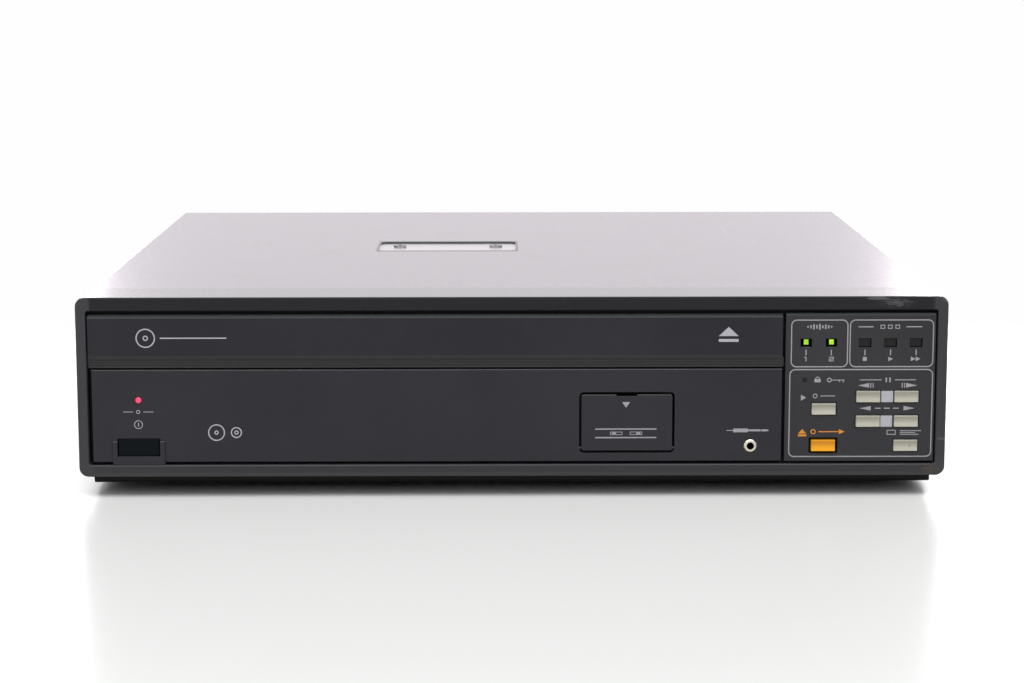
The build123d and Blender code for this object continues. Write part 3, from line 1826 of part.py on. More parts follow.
# The mains inlet: a recess with three flat pins, in a flange outside the rear panel.
inlet_y = (rear_face_y + inlet_flange_thickness - inlet_depth, rear_face_y)
with BuildPart() as mains_inlet:
    block(
        about(inlet_x, inlet_body[0]),
        (inlet_y[0] - inlet_wall, rear_face_y),
        about(inlet_z, inlet_body[1]),
    )
    block(
        about(inlet_x, inlet_flange[0]),
        (rear_face_y, rear_face_y + inlet_flange_thickness),
        about(inlet_z, inlet_flange[1]),
    )
    block(
        about(inlet_x, inlet_recess[0]),
        (inlet_y[0], rear_face_y + inlet_flange_thickness),
        about(inlet_z, inlet_recess[1]),
        Mode.SUBTRACT,
    )
    for x, z in (
        (inlet_x - inlet_pin_spacing, inlet_z - inlet_earth_offset),
        (inlet_x, inlet_z + inlet_earth_offset),
        (inlet_x + inlet_pin_spacing, inlet_z - inlet_earth_offset),
    ):
        block(
            about(x, inlet_pin[1]),
            (inlet_y[0], inlet_y[0] + inlet_pin_length),
            about(z, inlet_pin[0]),
        )
save(mains_inlet, "mains_inlet")
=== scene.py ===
import math

import bmesh
import bpy
from mathutils import Matrix, Vector


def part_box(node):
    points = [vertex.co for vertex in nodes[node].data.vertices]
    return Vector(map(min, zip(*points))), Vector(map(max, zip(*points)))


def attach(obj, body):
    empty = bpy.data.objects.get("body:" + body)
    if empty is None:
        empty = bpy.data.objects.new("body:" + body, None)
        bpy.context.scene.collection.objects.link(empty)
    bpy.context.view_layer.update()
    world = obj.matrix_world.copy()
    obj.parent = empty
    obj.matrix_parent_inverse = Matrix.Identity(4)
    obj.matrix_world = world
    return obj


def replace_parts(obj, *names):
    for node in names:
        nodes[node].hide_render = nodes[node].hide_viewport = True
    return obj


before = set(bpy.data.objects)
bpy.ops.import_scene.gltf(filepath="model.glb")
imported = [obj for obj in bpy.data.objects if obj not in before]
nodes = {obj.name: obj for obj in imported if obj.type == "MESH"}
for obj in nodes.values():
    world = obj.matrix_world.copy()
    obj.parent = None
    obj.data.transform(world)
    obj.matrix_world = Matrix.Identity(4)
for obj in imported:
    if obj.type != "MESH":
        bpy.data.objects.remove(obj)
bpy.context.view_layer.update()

# ---------------------------------------------------------------- camera
# The player is seen from in front and a little above, with a long lens.

camera_place = (-0.00567, -1.35724, 0.26077)
camera_pitch = math.radians(-9.023)
camera_yaw = math.radians(-0.277)
camera_roll = math.radians(-0.073)
lens_px = 2442.9
image_width_px = 1024
sensor_mm = 36.0

camera_data = bpy.data.cameras.new("camera")
camera_data.sensor_width = sensor_mm
camera_data.lens = lens_px / image_width_px * sensor_mm
camera = bpy.data.objects.new("camera", camera_data)
camera.matrix_world = (
    Matrix.Translation(camera_place)
    @ Matrix.Rotation(camera_yaw, 4, "Z")
    @ Matrix.Rotation(math.pi / 2 + camera_pitch, 4, "X")
    @ Matrix.Rotation(camera_roll, 4, "Z")
)
bpy.context.collection.objects.link(camera)
bpy.context.scene.camera = camera
bpy.context.scene.view_settings.view_transform = "Standard"

# ---------------------------------------------------------------- studio
# A white room with soft boxes overhead, in front and behind. What the camera, gloss
# and glass see of it is plain white, and it lights the object at about that level.

room_fill = 0.26
room_colour = (1.0, 0.992, 1.0, 1.0)
lamps_aim_at = Vector((0.0, -0.1, 0.05))
soft_boxes = (  # name, place, size across and along, watts
    ("overhead", (0.0, -0.75, 1.7), (2.6, 1.5), 31.0),
    ("front_left", (-1.3, -2.0, 1.1), (1.3, 1.1), 5.5),
    ("front_right", (1.3, -2.0, 1.1), (1.3, 1.1), 5.5),
    ("behind_left", (-0.95, 2.2, 0.55), (0.7, 0.7), 7.0),
    ("behind_right", (0.95, 2.2, 0.55), (0.7, 0.7), 11.0),
)


def feed(tree, node, feeds):
    """Feeds a node's inputs from sockets or plain values."""
    for name, value in dict(feeds).items():
        if isinstance(value, bpy.types.NodeSocket):
            tree.links.new(value, node.inputs[name])
        else:
            node.inputs[name].default_value = value
    return node


def placed(tree, kind, feeds=(), **settings):
    """A new node with its settings and what feeds it."""
    node = tree.nodes.new(kind)
    for name, value in settings.items():
        setattr(node, name, value)
    return feed(tree, node, feeds)


def sums(tree, operation, *values, clamp=False):
    """A math node fed by sockets or plain numbers, as its output."""
    return placed(tree, "ShaderNodeMath", enumerate(values),
                  operation=operation, use_clamp=clamp).outputs[0]


world = bpy.data.worlds.new("studio")
bpy.context.scene.world = world
world.use_nodes = True
tree = world.node_tree
tree.nodes.clear()
rays = placed(tree, "ShaderNodeLightPath").outputs
seen = sums(tree, "MAXIMUM", rays["Is Camera Ray"], rays["Is Glossy Ray"])
seen = sums(tree, "MAXIMUM", seen, rays["Is Transmission Ray"])
fill, white = (
    placed(tree, "ShaderNodeBackground", {"Color": room_colour, "Strength": strength})
    for strength in (room_fill, 1.0)
)
either = placed(tree, "ShaderNodeMixShader", enumerate(
    (seen, fill.outputs[0], white.outputs[0])))
placed(tree, "ShaderNodeOutputWorld", {"Surface": either.outputs[0]})

for name, place, size, watts in soft_boxes:
    lamp = bpy.data.lights.new(name, "AREA")
    lamp.shape = "RECTANGLE"
    lamp.size, lamp.size_y = size
    lamp.energy = watts
    box = bpy.data.objects.new(name, lamp)
    box.location = place
    aim = lamps_aim_at - Vector(place)
    box.rotation_euler = aim.to_track_quat("-Z", "Y").to_euler()
    box.visible_camera = False
    bpy.context.collection.objects.link(box)

# ---------------------------------------------------------------- table
# A white table top with a soft sheen, wide enough for every view, that ends behind
# the player. It keeps the player's shadow and a faint reflection of its dark front.

table_half = 6.0
table_back = 0.36
table_colour = (0.90, 0.91, 0.895, 1.0)

table_mesh = bpy.data.meshes.new("table")
table_mesh.from_pydata(
    [(x * table_half, y, 0.0) for x, y in (
        (-1, -table_half), (1, -table_half), (1, table_back), (-1, table_back))],
    [], [(0, 1, 2, 3)],
)
table = bpy.data.objects.new("table", table_mesh)
bpy.context.collection.objects.link(table)
table_finish = bpy.data.materials.new("table_top")
table_finish.use_nodes = True
feed(table_finish.node_tree, table_finish.node_tree.nodes["Principled BSDF"], {
    "Base Color": table_colour, "Roughness": 0.26, "Specular IOR Level": 0.06})
table_mesh.materials.append(table_finish)

# ---------------------------------------------------------------- front frame
# The front frame is one piece moulded in charcoal plastic with a fine spark-eroded
# grain. The cover slides over its tongue, and years of handling have rubbed it. Its
# marks also paint light: painted shade on the top bar, paler painted sides and a
# painted highlight along the bottom bar. Narrow faces that look up are painted paler.


def sockets(group, ins, outs):
    """Names a node group's inputs and outputs, and gives what comes in."""
    for kind, named in (("INPUT", ins), ("OUTPUT", outs)):
        for name, holds, value in named:
            socket = group.interface.new_socket(
                name, in_out=kind, socket_type="NodeSocket" + holds)
            if value is not None:
                socket.default_value = value
    return placed(group, "NodeGroupInput").outputs


def times(tree, first, second):
    """One value times another."""
    return sums(tree, "MULTIPLY", first, second)


def ramp_between(tree, value, low, high):
    """Runs smoothly from 0 at low to 1 at high."""
    return placed(tree, "ShaderNodeMapRange", {
        "Value": value, "From Min": low, "From Max": high,
    }, interpolation_type="SMOOTHSTEP").outputs["Result"]


def noise(tree, where, scale, detail=3.0, roughness=0.55):
    """Plain noise at so many waves to the metre."""
    return placed(tree, "ShaderNodeTexNoise", {
        "Vector": where, "Scale": scale, "Detail": detail, "Roughness": roughness,
    }).outputs["Fac"]


def vectors(tree, operation, *values):
    """A vector math node fed by sockets or plain vectors, as its outputs."""
    return placed(tree, "ShaderNodeVectorMath", enumerate(values),
                  operation=operation).outputs


def axes(tree, vector):
    """A vector's X, Y and Z."""
    return placed(tree, "ShaderNodeSeparateXYZ", {0: vector}).outputs


def upward_share(tree, low, high):
    """How much a face looks up: 0 at a normal's low Z, 1 at its high Z."""
    normal = placed(tree, "ShaderNodeNewGeometry").outputs["Normal"]
    return ramp_between(tree, axes(tree, normal)["Z"], low, high)


# Grain: the small pits of a moulded or textured surface, as a height and as a tone.
grain_group = bpy.data.node_groups.new("surface_grain", "ShaderNodeTree")
entry = sockets(
    grain_group,
    [("Where", "Vector", None), ("Scale", "Float", 900.0), ("Pits", "Float", 0.5)],
    [("Height", "Float", None), ("Tone", "Float", None)],
)
pits = placed(grain_group, "ShaderNodeTexVoronoi", {
    "Vector": entry["Where"], "Scale": entry["Scale"]}, feature="SMOOTH_F1")
pitted = times(grain_group, pits.outputs["Distance"], entry["Pits"])
fine = noise(grain_group, entry["Where"], entry["Scale"], 2.0)
placed(grain_group, "NodeGroupOutput", {
    "Height": sums(grain_group, "ADD", pitted, fine),
    "Tone": noise(grain_group, entry["Where"], 14.0, 4.0),
})

# Handling: faint smears and settled dust, as masks. Dust lies where a face looks up.
handling_group = bpy.data.node_groups.new("handling", "ShaderNodeTree")
entry = sockets(
    handling_group,
    [("Where", "Vector", None), ("Smears", "Float", 0.3), ("Dust", "Float", 0.3)],
    [("Smear", "Float", None), ("Dust", "Float", None)],
)
stretched = vectors(handling_group, "MULTIPLY", entry["Where"], (1.0, 1.0, 2.4))[0]
smeared = ramp_between(
    handling_group, noise(handling_group, stretched, 21.0, 5.0, 0.62), 0.52, 0.74)
specks = ramp_between(
    handling_group, noise(handling_group, entry["Where"], 2600.0, 1.0), 0.66, 0.72)
dusty = times(handling_group, specks, upward_share(handling_group, 0.3, 0.95))
placed(handling_group, "NodeGroupOutput", {
    "Smear": times(handling_group, smeared, entry["Smears"]),
    "Dust": times(handling_group, dusty, entry["Dust"]),
})

# A ragged patch of a given middle and reach: a scuff or a stain, and also painted light or
# shade.
patch_group = bpy.data.node_groups.new("wear_and_light_patch", "ShaderNodeTree")
entry = sockets(
    patch_group,
    [
        ("Where", "Vector", None),
        ("Middle", "Vector", None),
        ("Reach", "Vector", (0.01, 0.01, 0.01)),
        ("Scale", "Float", 300.0),
        ("Stretch", "Vector", (1.0, 1.0, 1.0)),
        ("Cover", "Float", 0.5),
    ],
    [("Mask", "Float", None)],
)
offset = vectors(patch_group, "SUBTRACT", entry["Where"], entry["Middle"])[0]
shared = vectors(patch_group, "DIVIDE", offset, entry["Reach"])[0]
away = vectors(patch_group, "LENGTH", shared)["Value"]
inside = sums(patch_group, "SUBTRACT", 1.0, away, clamp=True)
drawn_out = vectors(patch_group, "MULTIPLY", entry["Where"], entry["Stretch"])[0]
ragged = noise(patch_group, drawn_out, entry["Scale"], 4.0, 0.65)
needed = sums(patch_group, "SUBTRACT", 1.0, entry["Cover"])
patch_mask = ramp_between(
    patch_group,
    sums(patch_group, "ADD", times(patch_group, inside, 0.5), ragged),
    sums(patch_group, "ADD", needed, 0.28),
    sums(patch_group, "ADD", needed, 0.42),
)
placed(patch_group, "NodeGroupOutput", {
    "Mask": times(patch_group, patch_mask, ramp_between(patch_group, inside, 0.0, 0.3))})


def group_in(tree, group, where, **values):
    """Places one of the groups in a material with its own values."""
    return placed(tree, "ShaderNodeGroup", {"Where": where, **values},
                  node_tree=group).outputs


def shade(colour, share):
    """A colour made darker or lighter."""
    return tuple(min(1.0, c * share) for c in colour)


def tint(tree, under, over, share):
    """Lays one colour over another by a mask. Each is a socket or a plain colour."""
    under, over = ((*c, 1.0) if isinstance(c, tuple) else c for c in (under, over))
    return placed(tree, "ShaderNodeMix", {0: share, 6: under, 7: over},
                  data_type="RGBA").outputs[2]


def marked(tree, where, toned, marks):
    """Lays ragged patches over a colour: wear, dirt and painted light or shade."""
    for middle, reach, scale, stretch, cover, colour, strength in marks:
        mark = group_in(tree, patch_group, where, Middle=middle, Reach=reach,
                        Scale=scale, Stretch=stretch, Cover=cover)
        toned = tint(tree, toned, colour, times(tree, mark["Mask"], strength))
    return toned


def started(name):
    """A new material, its nodes, its shader, and where a point is on the piece."""
    made = bpy.data.materials.new(name)
    made.use_nodes = True
    tree = made.node_tree
    where = placed(tree, "ShaderNodeTexCoord").outputs["Object"]
    return made, tree, tree.nodes["Principled BSDF"], where


def relief(tree, height, depth, strength=1.0):
    """The normal of a fine relief so many metres deep."""
    return placed(tree, "ShaderNodeBump", {
        "Height": height, "Distance": depth, "Strength": strength}).outputs["Normal"]


dust_grey = (0.30, 0.29, 0.27)
coat_roughness = 0.18


def moulded(
    name, colour, rough, grain=900.0, depth=0.00004, pits=0.5, smears=0.3, dust=0.5,
    specular=0.3, marks=(), sheen_on_top=False, ledge_highlight=None,
):
    """Moulded plastic or rubber: grain, a slow change of tone, smears, dust and marks.

    Its narrow faces and edges that look up can be painted paler, as a painted highlight where
    they catch the light from above.
    The sheen that it shows on a broad top is a thin coat."""
    made, tree, shader, where = started(name)
    surface = group_in(tree, grain_group, where, Scale=grain, Pits=pits)
    handled = group_in(tree, handling_group, where, Smears=smears, Dust=dust)
    lighter = tuple(min(1.0, c * 1.14 + 0.0015) for c in colour)
    toned = tint(tree, shade(colour, 0.9), lighter,
                 ramp_between(tree, surface["Tone"], 0.3, 0.7))
    toned = tint(tree, toned, dust_grey, times(tree, handled["Dust"], 0.5))
    # Painted highlight: faces that look up are made paler, below the frame's top.
    if ledge_highlight:
        under_top = ramp_between(tree, axes(tree, where)["Z"], 0.0975, 0.0970)
        toned = tint(tree, toned, ledge_highlight, times(tree, upward_share(tree, 0.2, 0.8), under_top))
    feed(tree, shader, {
        "Base Color": marked(tree, where, toned, marks),
        "Roughness": sums(
            tree, "ADD", rough, times(tree, handled["Smear"], -0.12)) if smears else rough,
        "Specular IOR Level": specular,
        "Normal": relief(tree, surface["Height"], depth, 0.8),
    })
    if sheen_on_top:
        feed(tree, shader, {
            "Coat Weight": upward_share(tree, 0.9, 0.99),
            "Coat Roughness": coat_roughness,
            "Coat IOR": 2.0, "Coat Tint": (1.0, 0.89, 1.0, 1.0)})
    return made


def dress(node_name, material):
    """Gives a carried-over piece its finish."""
    materials = nodes[node_name].data.materials
    materials.clear()
    materials.append(material)


charcoal = (0.019, 0.0185, 0.0215)
bare_plastic = (0.22, 0.21, 0.22)
scuffed = (0.17, 0.165, 0.175)
dirt = (0.075, 0.055, 0.042)
# Painted highlight colour for narrow faces that look up.
ledge_highlight_grey = (0.085, 0.095, 0.097)
# Painted light: a paler grey for the frame's lit sides and the highlight along its bottom bar.
painted_light_grey = (0.045, 0.044, 0.048)
# Painted shade: a darker grey laid over the frame's whole top bar.
top_bar_painted_shade = (0.008, 0.0078, 0.0100)
along_x, round_all = (0.12, 1.0, 1.0), (1.0, 1.0, 1.0)
frame_wear_and_painted_light = (  # middle, reach, scale, stretch, cover, colour, strength
    # Painted shade darkens the whole top bar.
    ((0.0, -0.196, 0.0930), (0.6, 0.012, 0.0080), 300.0, round_all, 1.0, top_bar_painted_shade, 1.0),
    ((0.185, -0.196, 0.0950), (0.016, 0.005, 0.0042), 3600.0, along_x, 0.50, scuffed, 0.42),
    ((0.1760, -0.196, 0.0970), (0.009, 0.005, 0.0012), 1500.0, along_x, 0.66, scuffed, 0.5),
    ((0.2080, -0.196, 0.0283), (0.0028, 0.003, 0.0008), 900.0, round_all, 0.80,
     bare_plastic, 0.9),
    ((0.2085, -0.195, 0.0963), (0.0026, 0.012, 0.0022), 900.0, round_all, 0.62,
     bare_plastic, 0.9),
    ((-0.2085, -0.195, 0.0963), (0.0026, 0.010, 0.0020), 900.0, round_all, 0.55,
     bare_plastic, 0.7),
    # Painted light: a paler bottom bar with a painted highlight line along it, and paler left
    # and right sides.
    ((0.0, -0.196, 0.0120), (0.6, 0.012, 0.0065), 300.0, round_all, 1.0, painted_light_grey, 0.5),
    ((0.0, -0.196, 0.0108), (0.6, 0.020, 0.0016), 300.0, round_all, 1.0, painted_light_grey, 0.9),
    ((-0.2075, -0.196, 0.055), (0.006, 0.012, 0.09), 300.0, round_all, 1.0, painted_light_grey, 0.95),
    ((0.2075, -0.196, 0.055), (0.006, 0.012, 0.09), 300.0, round_all, 1.0, painted_light_grey, 0.8),
    ((0.2030, -0.196, 0.0135), (0.0110, 0.004, 0.0050), 420.0, round_all, 0.50, dirt, 0.6),
)
dress("front_frame", moulded("frame_moulding", charcoal, 0.42, 1100.0, 0.00004,
                             smears=0.5, specular=0.26, marks=frame_wear_and_painted_light,
                             sheen_on_top=True, ledge_highlight=ledge_highlight_grey))

# ---------------------------------------------------------------- front panels
# The tray front, the lower panel, the door and the control panel are moulded in the
# same charcoal, a shade warmer, with a silkier face that shows faint smears. Their
# narrow faces that look up carry a painted highlight, as does the tray front's lower lip.

panel_grey = (0.0165, 0.0155, 0.0215)
panel_finish = moulded("panel_moulding", panel_grey, 0.36, 1500.0, 0.00002, smears=0.6,
                       dust=0.3, ledge_highlight=ledge_highlight_grey)
# Painted highlight: a paler band along the tray front's lower lip.
lip_highlight = ((-0.037, -0.1948, 0.0662), (0.6, 0.02, 0.0036), 300.0, round_all, 1.0,
           (0.036, 0.035, 0.035), 0.9)
dress("tray_front", moulded("tray_front_moulding", panel_grey, 0.36, 1500.0, 0.00002,
                            smears=0.6, dust=0.3, specular=0.25, ledge_highlight=ledge_highlight_grey,
                            marks=(lip_highlight,)))
dress("lower_front_panel", panel_finish)
dress("function_door", panel_finish)
dress("power_button_guard", panel_finish)
dress("control_panel", moulded("control_moulding", (0.0245, 0.0235, 0.0285), 0.38, 1500.0,
                               0.00002, smears=0.5, dust=0.3, ledge_highlight=ledge_highlight_grey))
# The chassis is near-black plastic; where it shows in the gaps between the panels, its black
# also serves as painted shade.
dress("front_chassis", moulded("chassis_moulding", (0.006, 0.006, 0.0065), 0.5,
                               specular=0.15))

# ---------------------------------------------------------------- screen printing
# Thin lilac-grey ink on the panels: plain lines, frames, arrows and small numerals.
# The frames and the ticks under the lamps are each one shape, repeated.

MM = 0.001
front_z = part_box("front_frame")[1].z
panel_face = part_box("lower_front_panel")[0].y
ink_thickness = 0.00004
ink_lift = 0.00001
ink_colour = (0.40, 0.385, 0.41)
amber = (0.80, 0.30, 0.02)


def printed(name, colour):
    """Printing ink: slightly uneven cover and a dry surface."""
    made, tree, shader, where = started(name)
    thin = ramp_between(tree, noise(tree, where, 1800.0, 2.0), 0.35, 0.7)
    feed(tree, shader, {
        "Base Color": tint(tree, shade(colour, 0.86), colour, thin), "Roughness": 0.6})
    return made


ink = printed("printing_ink", ink_colour)
amber_ink = printed("amber_ink", amber)


def place_piece(name, mesh, body, slot, *materials):
    """Makes a finished mesh a piece that rides on a body and wears the given materials; its
    slot is not used.
    """
    piece = bpy.data.objects.new(name, mesh)
    bpy.context.collection.objects.link(piece)
    for material in materials:
        if material.name not in mesh.materials:
            mesh.materials.append(material)
    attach(piece, body)
    return piece


def meshed(form, name):
    """Makes a finished form a mesh, with its faces outwards."""
    bmesh.ops.recalc_face_normals(form, faces=form.faces)
    mesh = bpy.data.meshes.new(name)
    form.to_mesh(mesh)
    form.free()
    return mesh


def print_shapes(name, outlines, face_y, body, slot, material):
    """Prints closed outlines, given in mm across and down from the frame's top edge."""
    form = bmesh.new()
    back_y = face_y - ink_lift
    for outline in outlines:
        face = form.faces.new([
            form.verts.new((x * MM, back_y, front_z - row * MM)) for x, row in outline])
        face.normal_update()
        if face.normal.y > 0:
            face.normal_flip()
        top = bmesh.ops.extrude_face_region(form, geom=[face])["geom"]
        moved = [v for v in top if isinstance(v, bmesh.types.BMVert)]
        bmesh.ops.translate(form, verts=moved, vec=(0, -ink_thickness, 0))
    return place_piece(name, meshed(form, name), body, slot, material)


def bar(x0, x1, row0, row1):
    """A printed rectangle."""
    return [(x0, row0), (x1, row0), (x1, row1), (x0, row1)]


def arc_parts(x, row, outer, inner, first, last, steps):
    """A printed arc line between two angles in degrees, in short pieces that meet."""
    parts = []
    for step in range(steps):
        a, b = (
            math.radians(first + (last - first) * s / steps) for s in (step, step + 1)
        )
        parts.append([
            (x + radius * math.cos(angle), row + radius * math.sin(angle))
            for radius, angle in ((outer, a), (outer, b), (inner, b), (inner, a))
        ])
    return parts


def ring_parts(x, row, outer, inner, steps=28):
    """A printed circle line."""
    return arc_parts(x, row, outer, inner, 0, 360, steps)


def geometry_tree(name, ins):
    """A new geometry tree with named inputs, and what comes in."""
    tree = bpy.data.node_groups.new(name, "GeometryNodeTree")
    tree.is_modifier = True
    shape = ("Geometry", "Geometry", None)
    return tree, sockets(tree, [shape, *ins], [shape])


def ended(tree, shape, finish):
    """Ends a geometry tree: its instances are made real and given their finish."""
    whole = placed(tree, "GeometryNodeRealizeInstances", {"Geometry": shape})
    finished = placed(tree, "GeometryNodeSetMaterial", {
        "Geometry": whole.outputs["Geometry"], "Material": finish})
    placed(tree, "NodeGroupOutput", {"Geometry": finished.outputs["Geometry"]})


# The frame lines come from one tree: a rounded rectangle swept with a flat line.
frame_tree, entry = geometry_tree("printed_frame", [
    ("Width", "Float", 0.03),
    ("Height", "Float", 0.02),
    ("Corner", "Float", 0.002),
    ("Line", "Float", 0.0005),
    ("Thickness", "Float", ink_thickness),
    ("Middle", "Vector", None),
    ("Ink", "Material", None),
])
outline, profile = (
    placed(frame_tree, "GeometryNodeCurvePrimitiveQuadrilateral", {
        "Width": entry[across], "Height": entry[along]}).outputs["Curve"]
    for across, along in (("Width", "Height"), ("Line", "Thickness"))
)
rounded = placed(frame_tree, "GeometryNodeFilletCurve", {
    "Curve": outline, "Radius": entry["Corner"], "Count": 6}, mode="POLY")
swept = placed(frame_tree, "GeometryNodeCurveToMesh", {
    "Curve": rounded.outputs["Curve"], "Profile Curve": profile})
stood = placed(frame_tree, "GeometryNodeTransform", {
    "Geometry": swept.outputs["Mesh"], "Rotation": (math.pi / 2, 0.0, 0.0),
    "Translation": entry["Middle"]})
ended(frame_tree, stood.outputs["Geometry"], entry["Ink"])


def grown(name, tree, body, slot, seed_mesh=None, **values):
    """Runs a geometry tree with its own values and keeps the result as a plain mesh."""
    seed = bpy.data.objects.new(
        name + "_seed", seed_mesh or bpy.data.meshes.new(name + "_seed")
    )
    bpy.context.collection.objects.link(seed)
    modifier = seed.modifiers.new("grow", "NODES")
    modifier.node_group = tree
    for item in tree.interface.items_tree:
        if item.item_type == "SOCKET" and item.in_out == "INPUT" and item.name in values:
            modifier[item.identifier] = values[item.name]
    evaluated = seed.evaluated_get(bpy.context.evaluated_depsgraph_get())
    mesh = bpy.data.meshes.new_from_object(evaluated)
    mesh.name = name
    seed.modifiers.remove(modifier)
    bpy.data.objects.remove(seed)
    return place_piece(name, mesh, body, slot)


ink_y = panel_face - ink_lift - ink_thickness / 2
frame_line = 0.00055
frame_corner = 0.0025
printed_frames = (  # name, left, right, top row, bottom row
    ("audio_frame", 134.7, 161.8, 11.7, 34.5),
    ("mode_frame", 163.0, 203.1, 11.7, 34.5),
    ("key_frame", 134.2, 203.2, 35.9, 78.7),
)
for name, left, right, high_row, low_row in printed_frames:
    grown(
        name, frame_tree, "base", "panel_moulding",
        Width=(right - left) * MM, Height=(low_row - high_row) * MM,
        Corner=frame_corner, Line=frame_line, Ink=ink,
        Middle=((left + right) / 2 * MM, ink_y, front_z - (high_row + low_row) / 2 * MM),
    )

# The ticks under the five lamps, from one tree that sets bars along a line.
tick_tree, entry = geometry_tree("printed_ticks", [
    ("Count", "Int", 3),
    ("Start", "Vector", None),
    ("Step", "Vector", (0.012, 0.0, 0.0)),
    ("Size", "Vector", (0.0005, 0.00004, 0.002)),
    ("Ink", "Material", None),
])
along = placed(tick_tree, "GeometryNodeMeshLine", {
    "Count": entry["Count"], "Start Location": entry["Start"], "Offset": entry["Step"]})
one = placed(tick_tree, "GeometryNodeMeshCube", {"Size": entry["Size"]})
each = placed(tick_tree, "GeometryNodeInstanceOnPoints", {
    "Points": along.outputs["Mesh"], "Instance": one.outputs["Mesh"]})
ended(tick_tree, each.outputs["Instances"], entry["Ink"])

tick_row = 27.5
tick_size = (0.0005, ink_thickness, 0.0028)
for name, count, first, step in (
    ("audio_ticks", 2, 141.8, 12.2),
    ("mode_ticks", 3, 170.25, 12.35),
):
    grown(
        name, tick_tree, "base", "panel_moulding", Count=count, Ink=ink,
        Start=(first * MM, ink_y, front_z - tick_row * MM),
        Step=(step * MM, 0.0, 0.0), Size=tick_size,
    )

# Arrows, bars and plain signs on the control panel, and the numbers of the channels.


def hollow_bar(x0, x1, row0, row1, line):
    """A printed rectangle's outline, as four bars."""
    return [
        bar(x0, x1, row0, row0 + line), bar(x0, x1, row1 - line, row1),
        bar(x0, x0 + line, row0 + line, row1 - line),
        bar(x1 - line, x1, row0 + line, row1 - line),
    ]

level_bars = (0.8, 1.6, 2.6, 1.8, 2.8, 1.4, 2.2, 1.6, 0.8)
sound_sign = [
    bar(142.2 + 1.42 * n, 142.9 + 1.42 * n, 14.95 - tall / 2, 14.95 + tall / 2)
    for n, tall in enumerate(level_bars)
]
channel_one = [bar(141.6, 142.05, 29.6, 31.8), bar(140.9, 141.6, 29.6, 30.0)]
channel_two = [
    bar(152.9, 155.3, 29.6, 30.0), bar(154.9, 155.3, 30.0, 30.5),
    bar(152.9, 155.3, 30.5, 30.9), bar(152.9, 153.3, 30.9, 31.4),
    bar(152.9, 155.3, 31.4, 31.8),
]
mode_heading = [bar(166.9, 174.2, 14.75, 15.25), bar(190.0, 197.6, 14.75, 15.25)]
for middle in (178.6, 182.2, 185.8):
    mode_heading += hollow_bar(middle - 1.1, middle + 1.1, 14.0, 16.0, 0.38)
mode_signs = [
    bar(169.3, 171.2, 29.7, 31.6),
    [(181.6, 29.6), (183.9, 30.7), (181.6, 31.8)],
    [(192.5, 29.6), (194.8, 30.7), (192.5, 31.8)],
    [(194.8, 29.6), (197.1, 30.7), (194.8, 31.8)],
]
lock_sign = [bar(146.1, 149.1, 40.5, 42.1)]
lock_sign += arc_parts(147.6, 40.5, 1.15, 0.75, 180, 360, 10)
lock_sign += ring_parts(153.3, 41.0, 1.15, 0.7, 16)
lock_sign += [
    bar(154.4, 160.6, 40.82, 41.22), bar(158.0, 158.4, 41.22, 42.0),
    bar(159.9, 160.3, 41.22, 42.2),
]
step_sign = [
    bar(168.0, 178.6, 40.75, 41.15), bar(185.0, 195.2, 40.75, 41.15),
    bar(180.5, 181.2, 39.8, 42.1), bar(182.3, 183.0, 39.8, 42.1),
]
step_arrows = [
    [(167.2, 43.7), (172.6, 42.5), (172.6, 44.8)],
    bar(173.2, 173.65, 42.5, 44.8), bar(174.35, 174.8, 42.5, 44.8),
    [(195.9, 43.7), (190.5, 44.8), (190.5, 42.5)],
    bar(188.4, 188.85, 42.5, 44.8), bar(189.5, 189.95, 42.5, 44.8),
]
scan_arrows = [
    [(168.1, 54.9), (173.6, 53.8), (173.6, 56.0)],
    [(195.0, 54.9), (189.5, 56.0), (189.5, 53.8)],
    bar(175.6, 178.4, 54.65, 55.15), bar(180.0, 182.8, 54.65, 55.15),
    bar(184.4, 187.2, 54.65, 55.15),
]
play_sign = [[(139.7, 48.2), (142.2, 49.65), (139.7, 51.1)]]
play_sign += ring_parts(146.6, 48.8, 1.15, 0.75, 18)
play_sign += [bar(149.2, 156.3, 48.6, 49.0)]
screen_sign = hollow_bar(181.6, 186.0, 65.6, 68.0, 0.38)
screen_sign += [
    bar(188.0, 198.2, 65.8, 66.2), bar(188.0, 195.4, 66.7, 67.1),
    bar(188.0, 197.0, 67.6, 68.0),
]
print_shapes(
    "control_print",
    sound_sign + channel_one + channel_two + mode_heading + mode_signs + lock_sign
    + step_sign + step_arrows + scan_arrows + play_sign + screen_sign,
    panel_face, "base", "panel_moulding", ink,
)
eject_sign = [[(138.6, 67.3), (140.6, 65.1), (142.6, 67.3)], bar(138.6, 142.6, 67.7, 68.7)]
eject_sign += ring_parts(145.9, 66.4, 1.25, 0.8, 18)
eject_sign += [bar(148.6, 158.6, 66.15, 66.65), [(158.4, 65.2), (161.2, 66.4), (158.4, 67.6)]]
print_shapes("reject_print", eject_sign, panel_face, "base", "panel_moulding", amber_ink)
bright_ink = printed("bright_ink", (0.50, 0.49, 0.54))
between_keys = [bar(178.6, 184.35, 46.4, 51.9), bar(178.4, 184.1, 58.5, 64.0)]
print_shapes("key_dividers", between_keys, panel_face, "base", "panel_moulding", bright_ink)

